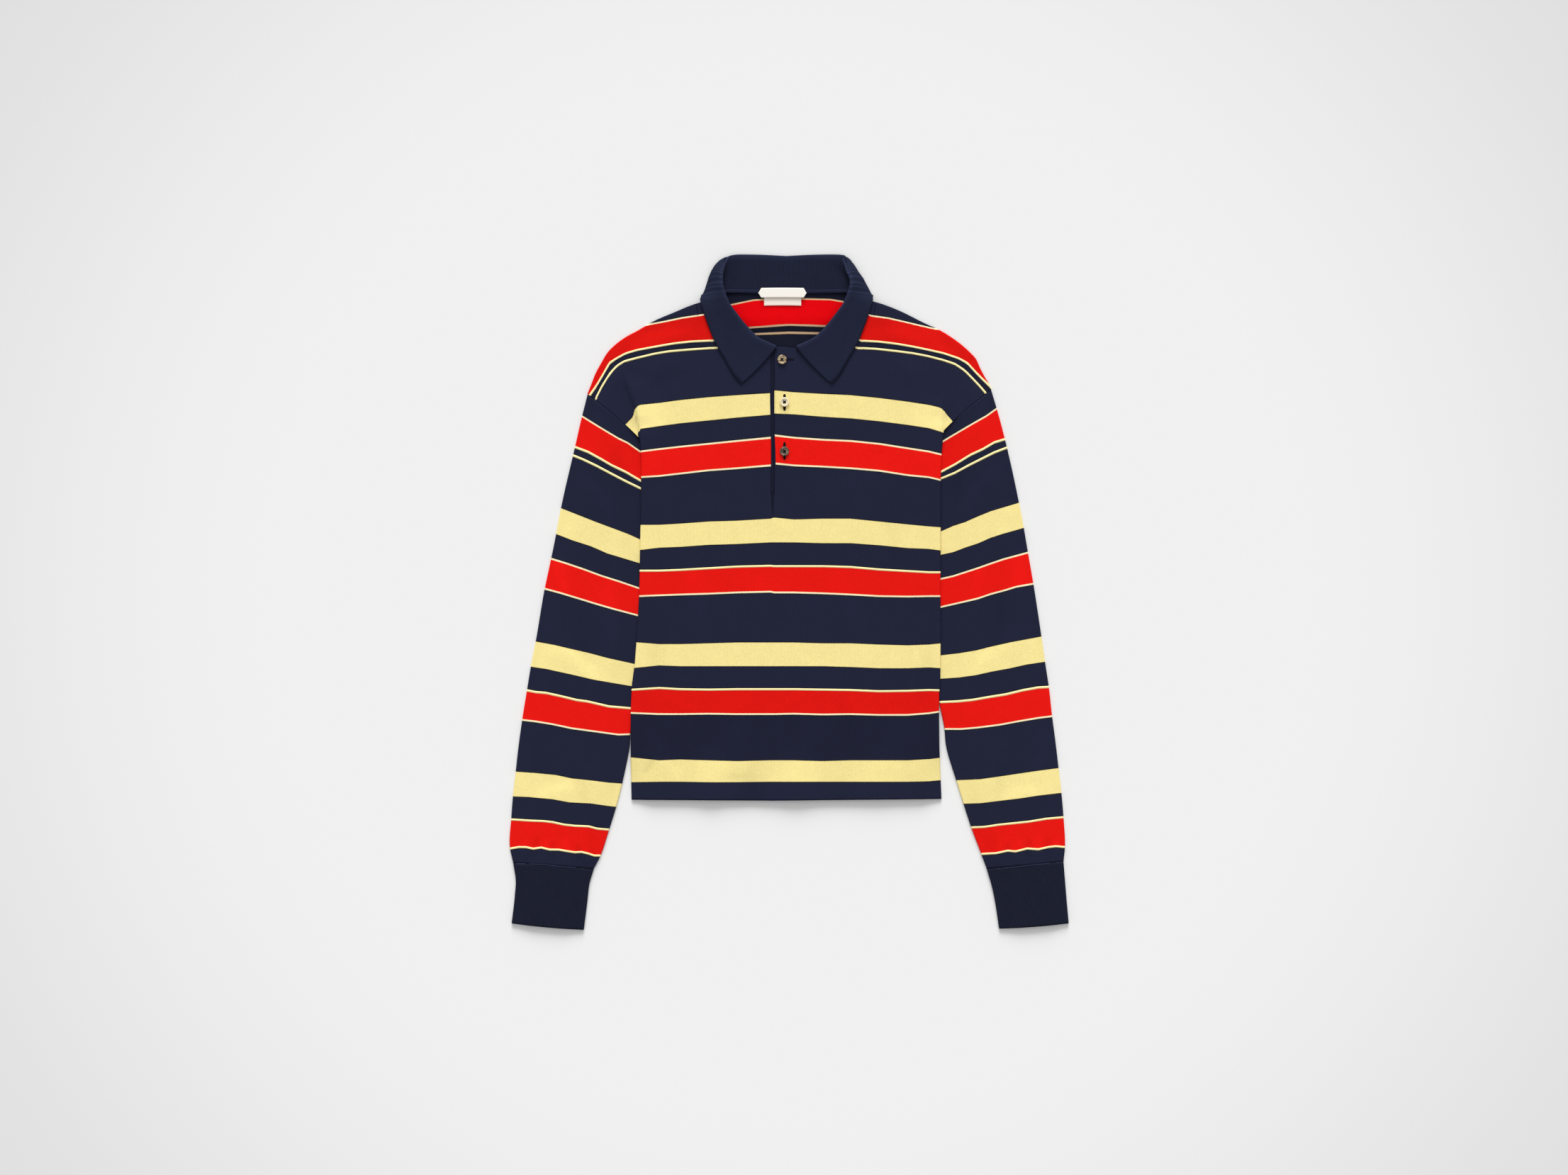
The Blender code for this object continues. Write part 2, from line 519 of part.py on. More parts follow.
def collar_profiles(count):
    """Middle surface of the rib strip: count stations from one leaf's edge to the back."""
    knots = np.array([np.concatenate(station) for station in COLLAR])
    at = np.arange(len(knots), dtype=float)
    slopes = np.gradient(knots, axis=0)
    where = np.linspace(0, len(knots) - 1, count)
    i = np.clip(where.astype(int), 0, len(knots) - 2)
    f = (where - at[i])[:, None]
    rows = ((2 * f**3 - 3 * f**2 + 1) * knots[i] + (f**3 - 2 * f**2 + f) * slopes[i]
            + (3 * f**2 - 2 * f**3) * knots[i + 1] + (f**3 - f**2) * slopes[i + 1])
    mirrored = rows[-2::-1].copy()
    mirrored[:, 0::3] *= -1.0
    return np.vstack([rows, mirrored])


def unit(vectors):
    """The vectors, each made one long."""
    return vectors / np.linalg.norm(vectors, axis=1)[:, None]


def draw_in(points):
    """Draw the collar's sides in by the tables: not at all up to a start, then more."""
    x, y = points[..., 0], points[..., 1]
    left = np.interp(y, *np.array(DRAWN_L).T)
    right = np.interp(y, *np.array(DRAWN_R).T)
    start = np.clip(DRAW_START - DRAW_RISE * (y - DRAW_RISE_Y), DRAW_NEAREST, DRAW_START)
    share = smooth((np.abs(x) - start) / DRAW_RAMP)
    points[..., 0] = x - np.sign(x) * np.where(x < 0, left, right) * share


def make_collar(material, group):
    """The folded rib collar: stand, fold and fall as one strip."""
    rows = collar_profiles(COLLAR_STATIONS)
    seam, fold, mid, edge = rows[:, 0:3], rows[:, 3:6], rows[:, 6:9], rows[:, 9:12]
    run = unit(np.gradient(fold, axis=0))
    stand = unit(fold - seam)
    tip = unit(stand - (stand * run).sum(1)[:, None] * run)
    outward = np.cross(tip, run)
    centre = fold - FOLD_RADIUS * tip
    arc = [centre + FOLD_RADIUS * (math.sin(turn) * tip - math.cos(turn) * outward)
           for turn in np.radians([0.0, 45.0, 90.0, 135.0, 180.0])]
    start = arc[-1]
    control = 2.0 * mid - (start + edge) / 2.0
    fall = [(1 - t) ** 2 * start + 2 * t * (1 - t) * control + t * t * edge
            for t in (0.25, 0.5, 0.75, 1.0)]
    profile = np.stack([seam, (seam + arc[0]) / 2.0, *arc, *fall], axis=1)
    profile[:, :, 0] += COLLAR_CENTRE
    draw_in(profile)
    count, width = profile.shape[:2]
    collar = add_mesh("collar", profile.reshape(-1, 3), grid_faces(count, width),
                      material, group)
    thicken(collar, RIB, 0.0)
    return collar


# ---------------------------------------------------------------- small pieces


def make_strip(material, group):
    """The strip behind the slit, hung just under the front panel."""
    across = np.linspace(STRIP_LEFT, STRIP_RIGHT, 5)
    up = np.linspace(STRIP_BOTTOM, STRIP_TOP, 12)
    plan = np.array([(x, y) for y in up for x in across])
    z = front_top(plan) - CLOTH - REST_GAP
    strip = add_mesh("placket_under", np.column_stack([plan, z]),
                     grid_faces(len(up), len(across)), material, group)
    thicken(strip, CLOTH, -1.0)
    return strip


def make_plate(name, corners, bottom, wall, material, group):
    """A flat plate with this outline, standing on the height bottom."""
    points = [(x, y, bottom + wall) for x, y in corners]
    plate = add_mesh(name, points, [tuple(range(len(points)))], material, group)
    thicken(plate, wall, -1.0)
    plate.data.shade_flat()
    return plate


def make_labels(material, group):
    """The blank neck label and the tab under it."""
    left, right = LABEL_CENTRE_X - LABEL_HALF_WIDTH, LABEL_CENTRE_X + LABEL_HALF_WIDTH
    middle = (LABEL_BOTTOM + LABEL_TOP) / 2.0
    corners = [(left, middle), (left + LABEL_POINT, LABEL_BOTTOM),
               (right - LABEL_POINT, LABEL_BOTTOM), (right, middle),
               (right - LABEL_POINT, LABEL_TOP), (left + LABEL_POINT, LABEL_TOP)]
    make_plate("label", corners, LABEL_Z, LABEL_WALL, material, group)
    corners = [(TAB_LEFT, TAB_BOTTOM), (TAB_RIGHT, TAB_BOTTOM),
               (TAB_RIGHT, TAB_TOP), (TAB_LEFT, TAB_TOP)]
    make_plate("label_tab", corners, TAB_Z, LABEL_WALL, material, group)


def make_hole_cutter(name, x, y, z, group):
    """Four thin pins that cut a button's thread holes."""
    bpy.ops.mesh.primitive_cylinder_add(vertices=BUTTON_HOLE_SIDES,
                                        radius=BUTTON_HOLE_RADIUS * MM,
                                        depth=BUTTON_PIN_LENGTH * MM)
    cutter = bpy.context.object
    for unused in list(cutter.users_collection):
        unused.objects.unlink(cutter)
    group.objects.link(cutter)
    cutter.name = name
    cutter.location = ((x - BUTTON_HOLE_OFFSET) * MM, (y - BUTTON_HOLE_OFFSET) * MM, z * MM)
    for axis in (0, 1):
        row = cutter.modifiers.new("Row", "ARRAY")
        row.count = 2
        row.use_relative_offset = False
        row.use_constant_offset = True
        step = [0.0, 0.0, 0.0]
        step[axis] = 2.0 * BUTTON_HOLE_OFFSET * MM
        row.constant_offset_displace = step
    cutter.hide_render = True
    cutter.display_type = "WIRE"
    return cutter


def make_button(button, material, group, cutters):
    """A dished four-hole button resting on the front panel."""
    points = [(x, 0.0, z) for x, z in BUTTON_PROFILE]
    edges = [(i, i + 1) for i in range(len(points) - 1)]
    thing = add_mesh(button.name, points, [], material, group, edges)
    turned = thing.modifiers.new("Turned", "SCREW")
    turned.steps = turned.render_steps = BUTTON_SIDES
    turned.use_merge_vertices = True
    turned.merge_threshold = MERGE
    offsets = (-BUTTON_RADIUS, 0.0, BUTTON_RADIUS)
    spot = np.array([[button.x + dx, button.y + dy] for dx in offsets for dy in offsets])
    z = float(front_top(spot).max()) + SEAM
    thing.location = (button.x * MM, button.y * MM, z * MM)
    cutter = make_hole_cutter(button.name + "_holes", button.x, button.y, z, cutters)
    holes = thing.modifiers.new("Holes", "BOOLEAN")
    holes.operation = "DIFFERENCE"
    holes.object = cutter
    return thing


# ---------------------------------------------------------------- the shirt


def main():
    """Build every piece of the shirt."""
    clear_scene()
    pieces = make_collection("rugby_shirt")
    cutters = make_collection("cutters")
    jersey = make_material("jersey", NAVY, 0.9)
    jersey_back = make_material("jersey_back", RED, 0.9)
    rib = make_material("rib", COLLAR_NAVY, 0.9)
    horn = make_material("horn", HORN, 0.3)
    satin = make_material("satin", SATIN, 0.5)

    make_back(jersey_back, pieces)
    make_front(jersey, pieces)
    for half in (LEFT, RIGHT):
        make_sleeve(half, jersey, pieces)
        make_cuff(half, rib, pieces)
    make_strip(jersey, pieces)
    make_collar(rib, pieces)
    make_labels(satin, pieces)
    for button in BUTTONS:
        make_button(button, horn, pieces, cutters)


main()
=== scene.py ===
"""Looks of a long-sleeved striped rugby shirt that lies flat on its back.

Each piece of cloth is a thin shell on the form of its solid: the heights of the laid
body, the flattened sleeves and the folded rib collar are worked out here from the same
sizes as the solids, on much finer grids.  The stripes are knitted in: every point of the
jersey knows how far down the cloth it lies (its course) and how far across, and the
finish turns the course into yarn.

Sizes and tables are in millimetres; MM turns them into metres.  +Y runs from the hem to
the collar and +Z up, with the floor at z = 0.
"""
import logging
import math
from collections.abc import Callable, Sequence
from dataclasses import dataclass, field
from enum import Enum

import bmesh
import bpy
import numpy as np
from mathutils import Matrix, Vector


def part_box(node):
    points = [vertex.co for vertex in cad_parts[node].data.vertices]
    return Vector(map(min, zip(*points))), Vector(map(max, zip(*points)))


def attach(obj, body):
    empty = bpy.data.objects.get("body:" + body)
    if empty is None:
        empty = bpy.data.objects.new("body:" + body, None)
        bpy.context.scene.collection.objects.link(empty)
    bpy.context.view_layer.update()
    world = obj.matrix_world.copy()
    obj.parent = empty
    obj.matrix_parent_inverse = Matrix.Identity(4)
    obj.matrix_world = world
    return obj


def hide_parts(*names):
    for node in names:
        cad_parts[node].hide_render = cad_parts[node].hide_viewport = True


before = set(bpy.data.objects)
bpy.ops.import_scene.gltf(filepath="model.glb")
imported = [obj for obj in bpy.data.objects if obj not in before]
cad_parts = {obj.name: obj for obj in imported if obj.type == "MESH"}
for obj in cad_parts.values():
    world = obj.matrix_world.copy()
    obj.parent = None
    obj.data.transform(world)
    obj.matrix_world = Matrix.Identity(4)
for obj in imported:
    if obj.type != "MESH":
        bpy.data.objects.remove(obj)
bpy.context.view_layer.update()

log = logging.getLogger("rugby_shirt")

MM = 0.001
WELD = 0.00001           # points nearer than this, in metres, are joined

Array = np.ndarray
Object = bpy.types.Object
Material = bpy.types.Material
Point = tuple[float, float]
Colour = tuple[float, float, float]


# ------------------------ colours


class Yarn(Enum):
    """The yarns of the striped jersey."""

    NAVY = "navy"
    RED = "red"
    CREAM = "cream"
    GOLD = "gold"
    YELLOW = "yellow"
    # painted shadow: a thin dark line on the navy side of each change of yarn
    OUTLINE = "outline"


def dye(red: float, green: float, blue: float, light: float = 1.09) -> Colour:
    """Share of light that a cloth sends back, from how it looks on a screen.

    Args:
        red: shown red, from 0 to 255.
        green: shown green.
        blue: shown blue.
        light: how brightly the studio lights a level surface.

    Returns:
        The linear colour.
    """
    shown = np.array([red, green, blue]) / 255.0
    linear = np.where(shown <= 0.04045, shown / 12.92, ((shown + 0.055) / 1.055) ** 2.4)
    return tuple(float(value) for value in linear / light)


# The last colour of each table is painted shadow: the dark line beside each stripe's edge.
RIGHT_SIDE = {Yarn.NAVY: dye(34, 37, 57), Yarn.RED: dye(233, 24, 18),
              Yarn.CREAM: dye(254, 241, 196), Yarn.GOLD: dye(255, 241, 178),
              Yarn.YELLOW: dye(249, 231, 155), Yarn.OUTLINE: dye(14, 15, 26)}
WRONG_SIDE = {Yarn.NAVY: dye(26, 28, 43), Yarn.RED: dye(251, 6, 16),
              Yarn.CREAM: dye(226, 190, 146), Yarn.GOLD: dye(205, 172, 135),
              Yarn.YELLOW: dye(238, 216, 144), Yarn.OUTLINE: dye(20, 20, 32)}
RIB_NAVY = dye(35, 39, 59)
CUFF_NAVY = dye(29, 32, 48)
LABEL_CREAM = dye(251, 246, 236)
TAB_CREAM = dye(252, 240, 228)
BUTTON_THREAD = dye(12, 11, 16)
HOLE_THREADS = {"brown": dye(30, 22, 20), "navy": dye(25, 26, 40)}
SEAM_THREAD = dye(18, 19, 30)
LINK_THREAD = dye(72, 80, 112)


# ------------------------ tables


def pairs(*numbers: float) -> tuple[Point, ...]:
    """Plan points from a row of numbers: x, y, x, y and so on."""
    return tuple(zip(numbers[::2], numbers[1::2]))


class Section:
    """Column numbers of a sleeve or cuff section: its two ends, tuck and bow."""

    OUTER = slice(0, 2)
    INNER = slice(2, 4)
    TUCK = 4
    BOW = 5


# Side edge of the body, from the hem up to the armpit.
SIDE_L = pairs(
    -189.5, -255, -190.5, -203.5, -190.5, -147, -189, -114, -185.5, -88.5, -182.5, -48, -180, -2.5,
    -178.5, 82, -177.5, 156.5, -179.5, 188)
SIDE_R = pairs(
    190.5, -254, 189.8, -238, 188.7, -212, 187.8, -190, 187.4, -150, 187.6, -123, 188.9, -108,
    189.5, -48, 189, -2.5, 189.5, 82, 189.5, 137.5, 190.5, 169, 193, 197.5)

# Shoulder fold, from the shoulder point up to the neck point.
SHOULDER_L = pairs(
    -243.5, 242.5, -239, 254, -234, 267, -227, 280, -218.5, 294, -209.5, 303, -196.5, 312.5,
    -182.5, 320, -161, 332.5, -138.5, 342, -116.5, 351, -103.5, 355, -88.5, 356.5)
SHOULDER_R = pairs(
    251.5, 248, 249, 254, 243.5, 263.5, 237.5, 275, 232.5, 286, 226, 293, 215, 303, 203.5, 311.5,
    192.5, 318.5, 169.5, 329.5, 135.5, 346, 116.5, 353, 105.5, 356, 89.5, 357.5)

# Front neck edge, from the neck point to the slit.
NECK_L = pairs(
    -88.5, 356.5, -87.5, 348, -82.5, 338, -71.5, 325.5, -56.5, 314.5, -40.5, 305, -26, 300.5,
    -18.5, 300)
NECK_R = pairs(
    89.5, 357.5, 88.5, 348, 83.5, 338, 72.5, 325.5, 57.5, 314.5, 41.5, 305, 27, 299.5, 14, 298,
    0, 299.5, -14.5, 300)

# The back's own neck points, and how far its neck edge rises above their line.
BACK_NECK_POINTS = pairs(-86, 362, 87, 362.5)
BACK_NECK_RISE = pairs(-86, 0, -74, 5, -50, 6.5, 51, 6.5, 75, 5, 87, 0)

# Sleeve sections from the armhole seam to the cuff seam, then the cuffs' own:
# outer end, inner end, how far it is tucked under the body, bow of its middle.
SLEEVE_L = (
    (-243.5, 242.5, -179.5, 188, 21, 2), (-250, 216, -178.5, 171.5, 20, 2),
    (-258.5, 179, -177.5, 136.5, 19, 2), (-276, 102.5, -178.5, 63.5, 16, 0.5),
    (-282, 70.5, -179, 34, 15, 0.5), (-288, 41, -179, 5, 14, 0.5), (-296, 3.5, -181, -28.5, 12, 0),
    (-307, -61, -185, -88.5, 9, 0.5), (-313, -92, -189, -115.5, 8, 0.5),
    (-317.5, -119.5, -189.5, -143.5, 5, 0), (-323.5, -156.5, -191, -175.5, 0, 0),
    (-327.4, -184.5, -191.9, -190, 0, 0), (-331.5, -220.5, -201, -235, 0, 0),
    (-335, -251.5, -208.3, -263.5, 0, 0), (-337, -278.5, -216.5, -290, 0, 0.5),
    (-338.5, -314, -228, -324.5, 0, 0.5), (-334.5, -332.5, -236, -340, 0, 1))
SLEEVE_R = (
    (251.5, 248, 193, 197.5, 21, 2), (258.5, 223.5, 193, 184.5, 20, 1.5),
    (268, 188, 189.5, 147, 19, 3), (285.5, 109, 190.5, 74, 16, 2),
    (291.5, 77.5, 189.5, 45, 15, 0.5), (296.5, 48, 189.5, 15, 13, 0.5),
    (303, 10.5, 189.5, -18.5, 11, 0), (313, -55, 190.5, -77.5, 7, 0),
    (317.5, -86.5, 190, -107, 5, -0.5), (322, -116, 189.8, -135, 2, -1),
    (326, -152, 194, -168, 0, -2), (329.9, -181.5, 196.2, -189.5, 0, -1.8),
    (334, -216.5, 208.6, -231.5, 0, -1.5), (337.5, -247, 217.5, -260, 0, -1),
    (340, -276, 227, -289, 0, 0), (341.8, -313, 239.2, -321.5, 0, 0),
    (340, -330.5, 246, -339.5, 0, 0))
CUFF_L = (
    (-334.5, -332.5, -236, -340, 0, 1), (-331.5, -352.5, -241, -357.5, 0, 0),
    (-332.5, -371.5, -243.5, -378.5, 0, 0), (-336.5, -406.5, -248, -414.5, 0, -1))
CUFF_R = (
    (340, -330.5, 246, -339.5, 0, 0), (341.5, -349.5, 251.5, -358.5, 0, 0),
    (343.5, -374, 256, -379.5, 0, 0), (346.4, -406.5, 261.1, -413, 0, -1))

# Collar stations, from the leaf's front edge round to the centre of the back: x, y and z
# of the neck seam, the fold, the middle of the fall and its outer edge.
COLLAR = (
    (-11.5, 297.5, 7, -12.5, 301, 8.1, -32.5, 276.5, 7.3, -55.5, 255, 6.9),
    (-25, 296.5, 7, -23, 305.5, 8.3, -45, 285.5, 7.6, -65, 266, 6.9),
    (-41.5, 302, 7, -36, 312.5, 8.6, -57, 297.5, 8.2, -76, 285.5, 6.9),
    (-58, 312.5, 7, -49, 325.5, 9.3, -70, 314, 8.9, -87.5, 305.5, 7.1),
    (-73.5, 323.5, 7.1, -59.5, 338.5, 10.6, -78.5, 330.5, 9.8, -95.5, 325.5, 7.3),
    (-85, 336, 7, -69, 351.5, 12, -87.5, 343.5, 10.2, -100.5, 339.5, 7.2),
    (-88.5, 341, 6.9, -72, 358, 12.6, -92, 351.5, 9.8, -104, 351, 7.2),
    (-89.5, 345, 6.9, -74, 362.5, 12.9, -94.5, 358, 9.2, -106, 358.5, 5.9),
    (-90, 348.5, 6.8, -75.5, 367, 13.1, -97, 364.5, 7.2, -107.5, 363, 3),
    (-90, 351.5, 6.9, -77, 372, 13.2, -100, 369, 4.4, -106, 359, 1),
    (-89.5, 354.5, 6.8, -78.5, 378.5, 13, -101, 373.5, 2.8, -100, 350, 0.92),
    (-85, 360, 6.1, -81.5, 393.8, 11, -97.1, 386.9, 2.8, -89, 342.5, 0.92),
    (-77, 365, 5.2, -78.4, 408, 6.1, -86, 396.6, 1.1, -72, 344, 0.92),
    (-64, 366, 4.6, -69.9, 412.3, 3.4, -64.9, 393.8, 1, -57, 347, 0.92),
    (-36, 365.5, 4.6, -38, 412.7, 2.3, -36, 382, 0.92, -32.5, 350.5, 0.92),
    (0, 365, 4.6, 0, 411, 2.1, 0, 382, 0.92, 0, 352.5, 0.92))

# How far each side of the collar is drawn in from those stations, at each height.
DRAWN_L = pairs(
    358, 0, 362, 2.8, 384, 3.4, 398, 4, 404.5, 5.3, 409, 6, 414, 7.3)
DRAWN_R = pairs(
    358, 0, 362, 1.3, 370, 1.4, 377, 3.3, 384, 5, 391, 7.8, 398, 8.5, 404.5, 9.1, 409, 7.2, 414, 0)

# Columns of the body's stripe table, with the slit between the sixth and seventh.
BODY_COLUMNS = (
    -179, -155.5, -129.5, -95, -60, -18.5, -15.5, 9.5, 44.5, 79, 114, 149, 175, 189.5)


# ------------------------ curves


def smooth(value: Array) -> Array:
    """Rise from 0 to 1 with level ends while value goes from 0 to 1."""
    share = np.clip(value, 0.0, 1.0)
    return share * share * (3.0 - 2.0 * share)


def hermite(knots: Array, at: Array, where: Array) -> Array:
    """Read a smooth line through knots.

    Between two knots it is the cubic that has their places and slopes, each slope
    taken from the knots on both sides.

    Args:
        knots: one row for each knot.
        at: the knots' places along the line, rising.
        where: places to read.

    Returns:
        One row for each place.
    """
    slopes = np.gradient(knots, at, axis=0)
    i = np.clip(np.searchsorted(at, where, side="right") - 1, 0, len(at) - 2)
    width = (at[i + 1] - at[i])[:, None]
    f = (where - at[i])[:, None] / width
    return ((2 * f**3 - 3 * f**2 + 1) * knots[i] + (f**3 - 2 * f**2 + f) * width * slopes[i]
            + (3 * f**2 - 2 * f**3) * knots[i + 1] + (f**3 - f**2) * width * slopes[i + 1])


def lengths(points: Array) -> Array:
    """Distance of each point of a broken line from its start, along it."""
    steps = np.linalg.norm(np.diff(points, axis=0), axis=1)
    return np.concatenate([[0.0], np.cumsum(steps)])


def follow(table: Array, at: Array, where: Array) -> Array:
    """Every column of a table read at places along it, straight between its rows."""
    return np.column_stack([np.interp(where, at, column) for column in table.T])


def curve(knots: Sequence, shares: Array) -> Array:
    """Points of a smooth line through the knots, at shares of its length."""
    table = np.asarray(knots, dtype=float)
    at = lengths(table)
    return hermite(table, at / at[-1], np.asarray(shares, dtype=float))


def edge_distance(points: Array, knots: Sequence) -> Array:
    """Distance from each plan point to a broken line: the nearest of its stretches."""
    line = np.asarray(knots, dtype=float)
    best = np.full(points.shape[:-1], np.inf)
    for start, span in zip(line[:-1], np.diff(line, axis=0)):
        offset = points - start
        share = np.clip(offset @ span / (span @ span), 0.0, 1.0)
        gap = offset - share[..., None] * span
        best = np.minimum(best, (gap * gap).sum(-1))
    return np.sqrt(best)


def unit(vectors: Array) -> Array:
    """The vectors, each made one long."""
    return vectors / np.maximum(np.linalg.norm(vectors, axis=-1, keepdims=True), 1e-12)


# ------------------------ the laid form


@dataclass(frozen=True)
class Half:
    """One side of the shirt: its outlines, its sleeve and the side of the slit it is on."""

    name: str
    side: tuple
    shoulder: tuple
    neck: tuple
    sleeve: tuple
    cuff: tuple
    slit_side: float


LEFT = Half("l", SIDE_L, SHOULDER_L, NECK_L, SLEEVE_L, CUFF_L, -1.0)
RIGHT = Half("r", SIDE_R, SHOULDER_R, NECK_R, SLEEVE_R, CUFF_R, 1.0)


@dataclass(frozen=True)
class NeckWindow:
    """Part of the body round the neck: above a height, within a half width, with soft ends."""

    y: float
    y_ramp: float
    x: float
    x_ramp: float

    def share(self, points: Array) -> Array:
        """1 at plan points inside it, falling smoothly to 0 outside."""
        return (smooth((points[..., 1] - self.y) / self.y_ramp)
                * smooth((self.x - np.abs(points[..., 0])) / self.x_ramp))


@dataclass(frozen=True)
class LaidForm:
    """Heights of the body panels as they lie on the floor and on the tucked sleeves.

    cloth and rib are the walls of the solids, and rib_wall leaves room for the ribs.  The
    edge of the front is rolled; roll_armpit says over what length that fades out at the
    armpit, and roll_neck and roll_point over what share of the shoulder at its ends.
    """

    cloth: float = 1.2
    rib: float = 1.6
    rib_wall: float = 1.4
    rest_gap: float = 0.4
    air: float = 3.2
    soft_edge: float = 30.0
    roll: float = 2.0
    roll_armpit: float = 12.0
    roll_neck: float = 1.0 / 5.0
    roll_point: float = 1.0 / 12.0
    tuck_lift: float = 3.2
    tuck_margin: float = 3.0
    tuck_ramp: float = 28.0
    part_ramp: float = 60.0
    armpit_reach: float = 27.0
    armpit_ramp: float = 25.0
    lift_share: float = 0.85
    neck_lift: float = 2.3
    neck_lifted: NeckWindow = NeckWindow(309.0, 28.0, 150.0, 38.0)
    neck_close_y: float = 305.0
    neck_close_ramp: float = 35.0
    neck_seam: float = 0.6
    neck_seamed: NeckWindow = NeckWindow(300.0, 20.0, 160.0, 15.0)
    hem_y: float = -256.0
    neck_y: float = 300.0
    slit_x: float = -16.5
    slit_end_y: float = 92.0
    slit_half: float = 2.0
    slit_taper: float = 30.0
    slit_end_side_y: float = 72.0
    armpit_centre_y: float = 206.0
    point_centre_y: float = 237.0

    def side_lift(self, half: Half, points: Array) -> Array:
        """How far the sleeve under one side raises the body.

        The lift is level over the tucked strip and falls in smooth ramps past it,
        above the armpit and below the place where the sleeve leaves the body.

        Args:
            half: the side.
            points: plan points.

        Returns:
            Heights in millimetres.
        """
        sleeve = np.array(half.sleeve)[::-1]
        side = np.array(half.side)
        x, y = points[..., 0], points[..., 1]
        inward = -half.slit_side * (x - np.interp(y, side[:, 1], side[:, 0]))
        tuck = np.interp(y, sleeve[:, 3], sleeve[:, Section.TUCK])
        parted_y = sleeve[sleeve[:, Section.TUCK] == 0.0, 3].max()
        under_arm = smooth((side[-1, 1] + self.armpit_reach - y) / self.armpit_ramp)
        above_parting = smooth((y - parted_y + self.part_ramp) / self.part_ramp)
        beside = 1.0 - smooth((inward - tuck - self.tuck_margin) / self.tuck_ramp)
        return self.tuck_lift * under_arm * above_parting * beside

    def back_underside(self, points: Array) -> Array:
        """Height of the back's underside: both side lifts and the lift at the neck."""
        neck = self.neck_lift * self.neck_lifted.share(points)
        return self.side_lift(LEFT, points) + self.side_lift(RIGHT, points) + neck

    def front_top(self, points: Array) -> Array:
        """Height of the front's outer face before its edge is rolled.

        It is the back, both walls and the air between them.  The air closes towards
        the folded edges and the neck, and where the back is raised.

        Args:
            points: plan points.

        Returns:
            Heights in millimetres.
        """
        edge = np.minimum.reduce([edge_distance(points, line)
                                  for line in (SIDE_L, SIDE_R, SHOULDER_L, SHOULDER_R)])
        below_neck = 1.0 - smooth((points[..., 1] - self.neck_close_y) / self.neck_close_ramp)
        base = self.back_underside(points)
        room = np.clip(self.air - self.rest_gap - self.lift_share * base, 0.0, None)
        gap = (self.rest_gap + room * smooth(edge / self.soft_edge) * below_neck
               + self.neck_seam * self.neck_seamed.share(points))
        return base + self.cloth + gap + self.cloth

    def roll_drop(self, distance: Array, radius: float) -> Array:
        """How far a rolled edge has turned down: a quarter circle of this radius."""
        reach = np.clip(radius - distance, 0.0, radius)
        return radius - np.sqrt(radius**2 - reach**2)


FORM = LaidForm()


# ------------------------ stripes


@dataclass(frozen=True)
class Line:
    """A line across the cloth where the yarn changes.

    points lie on it in plan, from left to right.  A fine line has a width and shows
    its own yarn over it; any other line has none.  below is the yarn under it, and
    light is painted light and shade: how much lighter or darker that yarn is made for
    the uneven light on the body, less on the shoulders and towards the hem.
    """

    name: str
    points: tuple[Point, ...]
    below: Yarn
    width: float = 0.0
    yarn: Yarn = Yarn.CREAM
    light: float = 1.0


FINE, RAISED, BROAD = 1.9, 2.3, 2.7          # widths of a flat and of two raised fine lines


class Edge(Enum):
    """Kinds of line: the yarn below it, its width and the yarn that it shows itself."""

    TO_RED = (Yarn.RED, FINE, Yarn.CREAM)
    TO_RED_RAISED = (Yarn.RED, RAISED, Yarn.GOLD)
    TO_RED_BROAD = (Yarn.RED, BROAD, Yarn.GOLD)
    TO_NAVY = (Yarn.NAVY, FINE, Yarn.CREAM)
    TO_NAVY_RAISED = (Yarn.NAVY, RAISED, Yarn.GOLD)
    TO_NAVY_BROAD = (Yarn.NAVY, BROAD, Yarn.GOLD)
    YELLOW_TOP = (Yarn.YELLOW, 0.0, Yarn.CREAM)
    YELLOW_END = (Yarn.NAVY, 0.0, Yarn.CREAM)


def make_lines(*rows: tuple) -> tuple[Line, ...]:
    """Lines from rows of a name, a kind, a painted lightness and x, y, x, y and so on."""
    return tuple(Line(name, pairs(*numbers), *edge.value, light)
                 for name, edge, light, numbers in rows)
